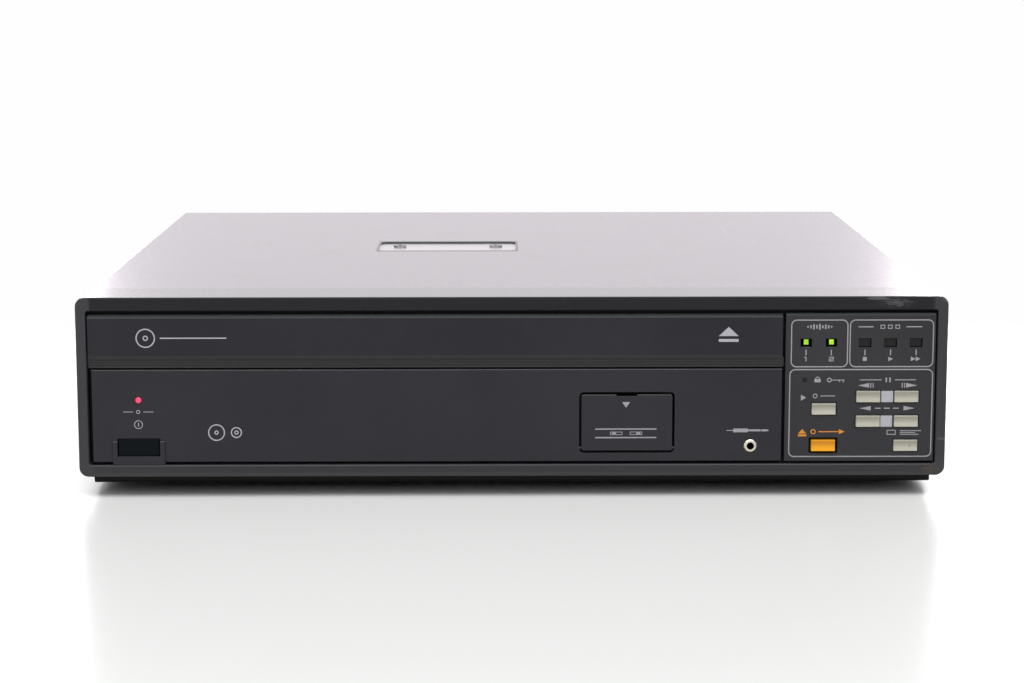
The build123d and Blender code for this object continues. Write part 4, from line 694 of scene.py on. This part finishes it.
# The power sign, the disc sizes, and the arrow and lines on the small door.
power_sign = ring_parts(-180.9, 62.2, 2.15, 1.75)
power_sign += [
    bar(-181.1, -180.7, 61.2, 63.2), bar(-188.2, -183.4, 55.8, 56.15),
    bar(-178.4, -173.6, 55.8, 56.15),
]
power_sign += ring_parts(-180.9, 55.97, 1.0, 0.6, 14)
print_shapes("power_sign", power_sign, panel_face, "base", "panel_moulding", ink)
disc_sizes = []
for middle, radius in ((-143.2, 4.1), (-133.6, 2.7)):
    disc_sizes += ring_parts(middle, 66.2, radius, radius - 0.55, 36)
    disc_sizes += ring_parts(middle, 66.2, 1.05, 0.55, 14)
print_shapes("disc_sizes", disc_sizes, panel_face, "base", "panel_moulding", bright_ink)
plug_sign = [
    bar(103.8, 107.2, 65.5, 65.85), bar(107.2, 114.2, 64.75, 66.6),
    bar(114.2, 120.4, 65.2, 66.15),
    [(120.8, 65.2), (123.6, 65.2), (124.5, 65.68), (123.6, 66.15), (120.8, 66.15)],
]
print_shapes("plug_sign", plug_sign, panel_face, "base", "panel_moulding", ink)
door_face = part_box("function_door")[0].y
door_print = [
    [(53.2, 51.6), (57.0, 51.6), (55.1, 54.4)],
    bar(40.2, 69.9, 64.6, 65.2), bar(40.2, 69.9, 68.8, 69.4),
]
for middle, knob in ((50.4, 49.3), (60.0, 61.1)):
    door_print += hollow_bar(middle - 3.0, middle + 3.0, 66.2, 67.8, 0.3)
    door_print += [bar(knob - 1.0, knob + 1.0, 66.6, 67.4)]
print_shapes("door_print", door_print, door_face, "function_door", "panel_moulding", ink)

# The tray front carries a plain disc sign on the left and a tray sign on the right.
tray_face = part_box("tray_front")[0].y
tray_print = ring_parts(-176.6, 19.9, 4.7, 4.1, 40) + ring_parts(-176.6, 19.9, 1.3, 0.75, 16)
tray_print += [bar(-169.6, -137.6, 19.6, 20.2)]
tray_print += [[(99.6, 19.4), (104.4, 14.9), (109.2, 19.4)], bar(99.6, 109.2, 20.8, 22.2)]
print_shapes("tray_print", tray_print, tray_face, "tray", "panel_moulding", bright_ink)

# ---------------------------------------------------------------- keys
# Seven moulded key caps, slightly dished so that a finger finds them. Each is pressed
# on a black carrier with a flange behind the panel and a round stem to its switch.

key_colour = (0.50, 0.485, 0.405)
key_orange = (1.0, 0.39, 0.013)
dish_depth = 0.00055
cap_edge = 0.00035
cap_proud = 0.0010
cap_draft = 0.00014
cap_inset = {"reject_key": 0.0016}
usual_cap_inset = 0.0009
cap_columns = (
    0.0, 0.012, 0.04, 0.1, 0.2, 0.32, 0.44, 0.56, 0.68, 0.8, 0.9, 0.96, 0.988, 1.0)
cap_rows = [0.5 - 0.5 * math.cos(math.pi * row / 12) for row in range(13)]
flange_behind_face = 0.00315
flange_thickness = 0.0010
stem_radius = 0.0015


def key_plastic(name, colour, marks=()):
    """Key plastic, with painted shade over the upper part of its dish, below its top rim."""
    made = moulded(name, colour, 0.40, 1300.0, 0.000015, smears=0.6, dust=0.2, marks=marks)
    tree = made.node_tree
    shader = tree.nodes["Principled BSDF"]
    toned = shader.inputs["Base Color"].links[0].from_socket
    share = placed(tree, "ShaderNodeAttribute", attribute_name="height_share").outputs["Fac"]
    under_rim = sums(tree, "SUBTRACT", 1.0, ramp_between(tree, share, 0.9, 0.99))
    # Painted shade: the upper part of the dish, which looks down, is darkened.
    upper_dish_shade = times(tree, ramp_between(tree, share, 0.25, 0.8), under_rim)
    feed(tree, shader, {
        "Base Color": tint(tree, toned, shade(colour, 0.66), times(tree, upper_dish_shade, 0.8))})
    return made


stain = ((0.1930, -0.196, 0.0248), (0.0028, 0.003, 0.0020), 900.0, round_all, 0.5,
         (0.25, 0.22, 0.16), 0.6)
key_finish = key_plastic("key_moulding", key_colour)
stained_finish = key_plastic("stained_key_moulding", key_colour, (stain,))
orange_finish = key_plastic("orange_moulding", key_orange)
# The carrier is black plastic, and its black also serves as painted shade in the gaps round the
# caps.
key_carrier = moulded("key_carrier", (0.008, 0.008, 0.009), 0.5, specular=0.1)


def dished_key(name, material, slot):
    """A key cap over its CAD node: dished face, rounded rim, flange and stem."""
    low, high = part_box(name)
    inset = cap_inset.get(name, usual_cap_inset) + cap_draft
    x0, x1, z0, z1 = low.x + inset, high.x - inset, low.z + inset, high.z - inset
    middle_x, middle_z = (x0 + x1) / 2, (z0 + z1) / 2
    flange_y = panel_face + flange_behind_face
    flange_back = flange_y + flange_thickness
    form = bmesh.new()
    grid = []
    for v in cap_rows:
        line = []
        for u in cap_columns:
            x, z = x0 + (x1 - x0) * u, z0 + (z1 - z0) * v
            edge = min(x - x0, x1 - x, z - z0, z1 - z)
            rim = max(0.0, 1.0 - edge / cap_edge)
            roll = cap_edge * (1.0 - math.sqrt(max(0.0, 1.0 - rim * rim)))
            dish = dish_depth * (1.0 - (2.0 * v - 1.0) ** 2) * min(1.0, edge / (2 * cap_edge))
            line.append(form.verts.new((x, panel_face - cap_proud + roll + dish, z)))
        grid.append(line)
    for lower, upper in zip(grid, grid[1:]):
        for n in range(len(lower) - 1):
            form.faces.new((lower[n], lower[n + 1], upper[n + 1], upper[n]))
    rim = [e for e in form.edges if e.is_boundary]
    walls = bmesh.ops.extrude_edge_only(form, edges=rim)["geom"]
    for vert in (v for v in walls if isinstance(v, bmesh.types.BMVert)):
        vert.co.x += math.copysign(cap_draft, vert.co.x - middle_x)
        vert.co.z += math.copysign(cap_draft, vert.co.z - middle_z)
        vert.co.y = flange_y
    rim = [e for e in form.edges if e.is_boundary]
    bmesh.ops.holes_fill(form, edges=rim, sides=0)
    bmesh.ops.create_cube(
        form, size=1.0,
        matrix=Matrix.Translation((middle_x, (flange_y + flange_back) / 2, middle_z))
        @ Matrix.Diagonal((high.x - low.x, flange_thickness, high.z - low.z, 1.0)),
    )
    stem_length = high.y - flange_back
    bmesh.ops.create_cone(
        form, cap_ends=True, segments=20, radius1=stem_radius, radius2=stem_radius,
        depth=stem_length,
        matrix=Matrix.Translation((middle_x, flange_back + stem_length / 2, middle_z))
        @ Matrix.Rotation(math.pi / 2, 4, "X"),
    )
    mesh = meshed(form, name + "_cap")
    for polygon in mesh.polygons:
        polygon.use_smooth = True
        polygon.material_index = int(polygon.center.y > flange_y - cap_edge)
    shares = mesh.attributes.new("height_share", "FLOAT", "POINT")
    for vert, share in zip(mesh.vertices, shares.data):
        share.value = (vert.co.z - z0) / (z1 - z0)
    mesh.set_sharp_from_angle(angle=math.radians(40))
    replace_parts(place_piece(name + "_cap", mesh, name, slot, material, key_carrier), name)


for name in ("play_key", "step_back_key", "step_forward_key", "scan_back_key",
             "scan_forward_key"):
    dished_key(name, key_finish, "key_moulding")
dished_key("display_key", stained_finish, "key_moulding")
dished_key("reject_key", orange_finish, "orange_moulding")

# ---------------------------------------------------------------- lamps
# The lit green lamps are square lenses set deep behind the panel, and the dark ones
# fill their windows. The red one is a round dome that stands just proud of the panel.


def lit(name, colour, patch_scale, rim=None):
    """A lit lamp: a faintly uneven glow, and a darker rim round a dome's middle."""
    made, tree, shader, where = started(name)
    uneven = ramp_between(tree, noise(tree, where, patch_scale, 1.0), 0.38, 0.62)
    glow = tint(tree, shade(colour, 0.72), colour, uneven)
    if rim:
        rim_colour, middle, radius = rim
        away = vectors(tree, "DISTANCE", where, middle)["Value"]
        glow = tint(tree, glow, rim_colour,
                    ramp_between(tree, away, radius * 0.72, radius * 1.05))
    feed(tree, shader, {
        "Emission Color": glow, "Emission Strength": 1.0, "Roughness": 0.3,
        "Base Color": tint(tree, glow, (0.02, 0.02, 0.02), 0.6)})
    return made


green_finish = lit("green_lamp", (0.44, 0.86, 0.03), 900.0)
lamp_holder = moulded("lamp_holder", (0.004, 0.004, 0.004), 0.5, specular=0.1)
dark_lamp = moulded("dark_lamp", (0.012, 0.009, 0.009), 0.16, 700.0, 0.00003, smears=0.0,
                    specular=0.2)
holder_gap = 0.0002


def lamp_lenses(name, middles, half, dome, face_y, node_name, slot, *materials):
    """Square lamps in a row: a slightly domed lens at the front of a plain holder."""
    form = bmesh.new()
    low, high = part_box(node_name)
    middle_z = (low.z + high.z) / 2
    holder_y = face_y + dome + holder_gap
    for middle in middles:
        rings = []
        for share, y in (
            (1.0, high.y), (1.0, holder_y), (1.0, face_y + dome * 0.4),
            (0.86, face_y + dome * 0.1), (0.5, face_y),
        ):
            rings.append([
                form.verts.new((
                    middle * MM + half[0] * share * across, y,
                    middle_z + half[1] * share * up,
                ))
                for across, up in ((-1, -1), (1, -1), (1, 1), (-1, 1))
            ])
        for near, far in zip(rings, rings[1:]):
            for n in range(4):
                form.faces.new((near[n], near[(n + 1) % 4], far[(n + 1) % 4], far[n]))
        form.faces.new(rings[-1])
        form.faces.new(rings[0])
    mesh = meshed(form, name)
    for polygon in mesh.polygons:
        polygon.material_index = int(polygon.center.y > holder_y)
    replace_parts(place_piece(name, mesh, "base", slot, *materials), node_name)


lamp_lenses("audio_lamp_lenses", (142.2, 154.45), (0.00108, 0.00120), 0.0005,
            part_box("audio_lamps")[0].y, "audio_lamps", "green_lamp", green_finish,
            lamp_holder)
lamp_lenses("mode_lamp_lenses", (170.25, 182.55, 194.9), (0.00275, 0.0020), 0.0002,
            panel_face + 0.0009, "mode_lamps", "dark_lamp", dark_lamp, lamp_holder)
low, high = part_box("power_lamp")
dome_middle = ((low.x + high.x) / 2, low.y, (low.z + high.z) / 2)
dome_radius = 0.0015
dress("power_lamp", lit("red_lamp", (1.0, 0.05, 0.17), 1200.0,
                        ((0.40, 0.0, 0.02), dome_middle, dome_radius)))
dress("key_lock_lamp", dark_lamp)

# ---------------------------------------------------------------- power button
# The power button is a smooth near-black moulding with a raised guard round it. Its
# stem slides in the switch behind the panel.

dress("power_button", moulded("button_moulding", (0.0025, 0.0045, 0.006), 0.20, 1500.0,
                              0.000004, smears=0.8, dust=0.2, specular=0.06))

# ---------------------------------------------------------------- top cover
# One folded sheet of steel in a dark wrinkle paint. It looks pale from in front only
# because it mirrors the white room at a low angle. Fine scratches cross the top.

cover_grey = (0.042, 0.050, 0.044)


def wrinkle_paint(name, colour, rough, coat, scale, depth, scratches=(), cut=(),
                  specular=0.5):
    """Textured paint on sheet steel, under a clear hard coat that is left off in a thin
    line round a cut, which shows there as a dark outline."""
    made, tree, shader, where = started(name)
    surface = group_in(tree, grain_group, where, Scale=scale, Pits=1.0)
    handled = group_in(tree, handling_group, where, Smears=0.3, Dust=0.5)
    toned = tint(tree, shade(colour, 0.94), shade(colour, 1.05),
                 ramp_between(tree, surface["Tone"], 0.3, 0.7))
    toned = tint(tree, toned, (0.35, 0.34, 0.33), handled["Dust"])
    feed(tree, shader, {
        "Base Color": marked(tree, where, toned, scratches),
        "Roughness": sums(tree, "ADD", rough, times(tree, handled["Smear"], 0.10)),
        "Specular IOR Level": specular,
        "Normal": relief(tree, surface["Height"], depth, 0.6),
    })
    if coat:
        mottle = ramp_between(tree, noise(tree, where, 420.0, 4.0, 0.7), 0.35, 0.65)
        clear = sums(tree, "SUBTRACT", coat, times(tree, mottle, 0.18 * coat))
        # Less coat in a thin line round the cut makes a dark outline there.
        near = 0.75 if cut else 0.0
        for axis, middle, half, line in cut:
            away = sums(tree, "ABSOLUTE", sums(
                tree, "SUBTRACT", axes(tree, where)[axis], middle))
            near = times(tree, near, ramp_between(
                tree, away, half + line, half + 0.6 * line))
        feed(tree, shader, {
            "Coat Weight": sums(tree, "SUBTRACT", clear, near),
            "Coat Roughness": coat_roughness,
            "Coat IOR": 1.85, "Coat Tint": (1.0, 0.87, 1.0, 1.0)})
    return made


scratched = (0.34, 0.33, 0.34)
cover_scratches = (  # middle, reach, scale, stretch, cover, colour, strength
    ((0.128, 0.086, 0.0976), (0.0009, 0.050, 0.002), 500.0, round_all, 0.60, scratched, 0.4),
    ((0.139, 0.030, 0.0976), (0.0009, 0.040, 0.002), 500.0, round_all, 0.55, scratched, 0.3),
    ((-0.010, 0.062, 0.0976), (0.0100, 0.012, 0.002), 700.0, round_all, 0.50, scratched,
     0.15),
)
window_cut = (  # axis, middle, half size, width of the dark line
    ("X", -0.0352, 0.0382, 0.0016), ("Y", 0.0140, 0.02075, 0.0046))
dress("top_cover", wrinkle_paint("cover_paint", cover_grey, 0.30, 1.0, 1100.0, 0.00004,
                                 cover_scratches, window_cut))

# ---------------------------------------------------------------- transport plate
# A bright satin plate of brushed steel lies against the underside of the cover, under
# its window. Two cross-head screws hold it.


def sheet_metal(name, colour, rough, stretch, scale=60.0, depth=0.000004):
    """Bare, plated or brushed metal, with fine lines along the long way of stretch."""
    made, tree, shader, where = started(name)
    drawn = vectors(tree, "MULTIPLY", where, stretch)[0]
    lines = noise(tree, drawn, scale, 4.0, 0.7)
    broad = noise(tree, where, 30.0, 3.0)
    handled = group_in(tree, handling_group, where, Smears=0.5, Dust=0.3)
    toned = tint(tree, shade(colour, 0.82), colour, ramp_between(tree, lines, 0.3, 0.7))
    dulled = times(tree, ramp_between(tree, broad, 0.5, 0.8), 0.4)
    feed(tree, shader, {
        "Base Color": tint(tree, toned, shade(colour, 0.7), dulled), "Metallic": 1.0,
        "Roughness": sums(tree, "ADD", rough, times(tree, handled["Smear"], 0.15)),
        "Normal": relief(tree, lines, depth),
    })
    return made


lines_across = (1.0, 40.0, 40.0)
lines_back = (40.0, 1.0, 40.0)
even_all_ways = (8.0, 8.0, 8.0)
dress("transport_plate", sheet_metal("bright_plate", (0.80, 0.76, 0.80), 0.30, lines_across))
dress("transport_screws", sheet_metal("screw_steel", (0.36, 0.34, 0.35), 0.34, even_all_ways))

# ---------------------------------------------------------------- control jack
# The jack is a nickel-plated ring turned from bar, with a round hole for a small plug.
# A black moulded sleeve lines the hole.

dress("control_jack", sheet_metal("nickel", (0.80, 0.74, 0.62), 0.22, even_all_ways))


def turned(name, axis_start, along, profile, body, slot, material, steps=32):
    """A round piece turned from a closed profile of (distance along, radius) in metres."""
    form = bmesh.new()
    turn = Vector(along).to_track_quat("Z", "Y").to_matrix()
    loops = []
    for step in range(steps):
        angle = 2 * math.pi * step / steps
        loops.append([
            form.verts.new(Vector(axis_start) + turn @ Vector(
                (radius * math.cos(angle), radius * math.sin(angle), far)))
            for far, radius in profile
        ])
    for step in range(steps):
        here, there = loops[step], loops[(step + 1) % steps]
        for n in range(len(profile)):
            m = (n + 1) % len(profile)
            form.faces.new((here[n], here[m], there[m], there[n]))
    mesh = meshed(form, name)
    for polygon in mesh.polygons:
        polygon.use_smooth = True
    mesh.set_sharp_from_angle(angle=math.radians(35))
    return place_piece(name, mesh, body, slot, material)


jack_axis = (0.1155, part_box("control_jack")[0].y, 0.0247)
deep_black = moulded("sleeve_moulding", (0.004, 0.004, 0.004), 0.6, specular=0.05)
sleeve_profile = [  # distance in, radius
    (0.0004, 0.00178), (0.0120, 0.00178), (0.0120, 0.00030), (0.0112, 0.00030),
    (0.0112, 0.00150), (0.0004, 0.00150)]
turned("jack_sleeve", jack_axis, (0, 1, 0), sleeve_profile, "base", "switch_moulding",
       deep_black)

# ---------------------------------------------------------------- pan, feet, rear
# The pan and the rear panel are black painted steel. The feet are rubber, each with a
# black screw in it, and the audio sockets have moulded rings round their middles.

pan_paint = wrinkle_paint("pan_paint", (0.010, 0.0095, 0.0095), 0.45, 0.0, 1500.0, 0.00002,
                          specular=0.12)
dress("bottom_pan", pan_paint)
dress("rear_panel", pan_paint)
dress("feet", moulded("foot_rubber", (0.018, 0.018, 0.018), 0.62, 900.0, 0.00005, dust=1.0))
dark_screw = sheet_metal("dark_screw", (0.07, 0.07, 0.075), 0.35, even_all_ways)
dress("foot_screws", dark_screw)
dress("cover_screws", dark_screw)
dress("rear_sockets", sheet_metal("socket_nickel", (0.72, 0.69, 0.62), 0.25, even_all_ways))
socket_reach, socket_height = 0.196, 0.040
insulator_profile = [  # distance out, radius
    (-0.0004, 0.0018), (-0.0004, 0.0031), (0.0003, 0.0031), (0.0005, 0.0029),
    (0.0005, 0.0019)]
for name, across, colour in (
    ("audio_insulator_1", -0.120, (0.60, 0.60, 0.58)),
    ("audio_insulator_2", -0.100, (0.45, 0.025, 0.02)),
):
    turned(name, (across, socket_reach, socket_height), (0, 1, 0), insulator_profile,
           "base", "switch_moulding", moulded(name, colour, 0.35, 1200.0, 0.00001))
switch_black = moulded("switch_moulding", (0.016, 0.016, 0.017), 0.40, 1200.0, 0.00002)
dress("mains_inlet", switch_black)

# One louvre, pressed out of the sheet and open downwards, is set in rows by one tree.
row_tree, entry = geometry_tree("set_in_rows", [
    ("Columns", "Int", 2),
    ("Rows", "Int", 2),
    ("Across", "Float", 0.02),
    ("Up", "Float", 0.02),
    ("Start", "Vector", None),
    ("Finish", "Material", None),
])
across, up = (
    times(row_tree, sums(row_tree, "SUBTRACT", entry[count], 1.0), entry[pitch])
    for count, pitch in (("Columns", "Across"), ("Rows", "Up"))
)
grid = placed(row_tree, "GeometryNodeMeshGrid", {
    "Size X": across, "Size Y": up, "Vertices X": entry["Columns"],
    "Vertices Y": entry["Rows"]})
upright = placed(row_tree, "GeometryNodeTransform", {
    "Geometry": grid.outputs["Mesh"], "Rotation": (math.pi / 2, 0.0, 0.0),
    "Translation": entry["Start"]})
each = placed(row_tree, "GeometryNodeInstanceOnPoints", {
    "Points": upright.outputs["Geometry"], "Instance": entry["Geometry"]})
ended(row_tree, each.outputs["Instances"], entry["Finish"])

louvre_length, louvre_rise, louvre_depth = 0.030, 0.0034, 0.0016
louvre_steps = 6
louvre_sections = (  # share of the half length, share of the lift
    (-1.0, 0.04), (-0.94, 0.780625), (-0.84, 1.0),
    (0.84, 1.0), (0.94, 0.780625), (1.0, 0.04))
form = bmesh.new()
ends = []
for share, lift in louvre_sections:
    arc = [form.verts.new((share * louvre_length / 2, 0.0, -louvre_rise / 2))]
    for step in range(louvre_steps + 1):
        turn = math.pi / 2 * step / louvre_steps
        arc.append(form.verts.new((
            share * louvre_length / 2,
            louvre_depth * lift * math.cos(turn),
            -louvre_rise / 2 + louvre_rise * lift * math.sin(turn),
        )))
    ends.append(arc)
for near, far in zip(ends, ends[1:]):
    for n in range(len(near)):
        m = (n + 1) % len(near)
        form.faces.new((near[n], near[m], far[m], far[n]))
form.faces.new(ends[0])
form.faces.new(ends[-1])
rear_face = 0.187
grown("rear_louvres", row_tree, "base", "pan_paint", seed_mesh=meshed(form, "louvre"),
      Columns=3, Rows=5, Across=0.036, Up=0.0085, Start=(0.045, rear_face, 0.050),
      Finish=pan_paint)

# ---------------------------------------------------------------- function switches
# Two slide switches sit behind the small door. Their white moulded knobs run in one
# black moulded block.

knob_white = moulded("knob_moulding", (0.62, 0.61, 0.56), 0.38, 1200.0, 0.00001)
dress("function_switch_block", switch_black)
dress("function_slider_left", knob_white)
dress("function_slider_right", knob_white)

# ---------------------------------------------------------------- boards and switches
# The boards are glass-fibre sheet under a green solder mask. The key switches on the
# control board and the power switch behind the panel are black mouldings.

solder_mask = moulded("circuit_board", (0.02, 0.11, 0.045), 0.32, 400.0, 0.00003)
dress("control_board", solder_mask)
dress("main_board", solder_mask)
dress("key_switches", switch_black)
dress("power_switch", switch_black)

# ---------------------------------------------------------------- disc tray
# The sliding tray is a large black moulding with wells for two sizes of disc. It runs
# on white self-lubricating rails, and moulded gears drive it.

tray_black = moulded("tray_moulding", (0.022, 0.022, 0.024), 0.44, 1000.0, 0.00005,
                     smears=0.5, dust=0.7)
dress("disc_tray", tray_black)

# Felt pads glued round both wells keep the disc off the moulding.
felt = moulded("felt", (0.030, 0.030, 0.034), 0.9, 2200.0, 0.0001, pits=1.2, specular=0.05)
disc_middle = (-0.037, -0.010)
pad_rise, pad_foot, pad_top = 0.0007, 0.0042, 0.0037
opening_half, opening_front = 0.052, 0.030
pad_rings = (  # radius, height of the well, number of pads, first angle
    (0.1385, 0.0710, 10, 18.0), (0.0940, 0.0700, 8, 22.5))
form = bmesh.new()
for radius, floor_z, count, first in pad_rings:
    for step in range(count):
        angle = math.radians(first + 360.0 * step / count)
        x = disc_middle[0] + radius * math.cos(angle)
        y = disc_middle[1] + radius * math.sin(angle)
        if abs(x - disc_middle[0]) < opening_half and y > disc_middle[1] - opening_front:
            continue
        bmesh.ops.create_cone(
            form, cap_ends=True, segments=24, radius1=pad_foot, radius2=pad_top,
            depth=pad_rise,
            matrix=Matrix.Translation((x, y, floor_z + pad_rise / 2)),
        )
place_piece("tray_pads", meshed(form, "tray_pads"), "tray", "tray_moulding", felt)
slippery_white = moulded("gear_moulding", (0.66, 0.65, 0.58), 0.36, 700.0, 0.00001)
for name in ("tray_rails", "motor_pulley", "pulley_gear", "drive_gear", "clamper",
             "tilt_cam"):
    dress(name, slippery_white)

# ---------------------------------------------------------------- mechanism
# Zinc-plated pressings hold die castings, ground steel shafts and motors in steel
# cans. The deck stands on rubber dampers.

zinc = sheet_metal("plated_steel", (0.58, 0.57, 0.52), 0.34, lines_back)
casting = sheet_metal("cast_alloy", (0.52, 0.52, 0.53), 0.45, even_all_ways, 200.0, 0.00002)
ground = sheet_metal("shaft_steel", (0.66, 0.66, 0.67), 0.12, lines_back)
motor_can = sheet_metal("motor_steel", (0.52, 0.52, 0.53), 0.30, lines_across)
black_rubber = moulded("black_rubber", (0.014, 0.014, 0.014), 0.6)
for name, material in (
    ("mechanism_deck", zinc), ("clamp_bracket", zinc), ("clamp_arm", zinc),
    ("turntable", casting), ("tilt_frame", casting), ("pickup_carriage", casting),
    ("guide_shafts", ground), ("lead_screw", ground), ("spindle_motor", motor_can),
    ("loading_motor", motor_can), ("carriage_motor", motor_can),
    ("tilt_motor", motor_can), ("deck_dampers", black_rubber),
    ("loading_belt", black_rubber),
    ("power_transformer", moulded("core_iron", (0.05, 0.045, 0.04), 0.5, 300.0, 0.0001)),
):
    dress(name, material)

# The lens is coated glass.
lens_finish, tree, shader, where = started("lens_glass")
coating = ramp_between(tree, noise(tree, where, 90.0, 1.0), 0.3, 0.7)
feed(tree, shader, {
    "Base Color": tint(tree, (0.28, 0.30, 0.62), (0.42, 0.34, 0.60), coating),
    "Roughness": 0.04, "Transmission Weight": 0.7})
dress("objective_lens", lens_finish)
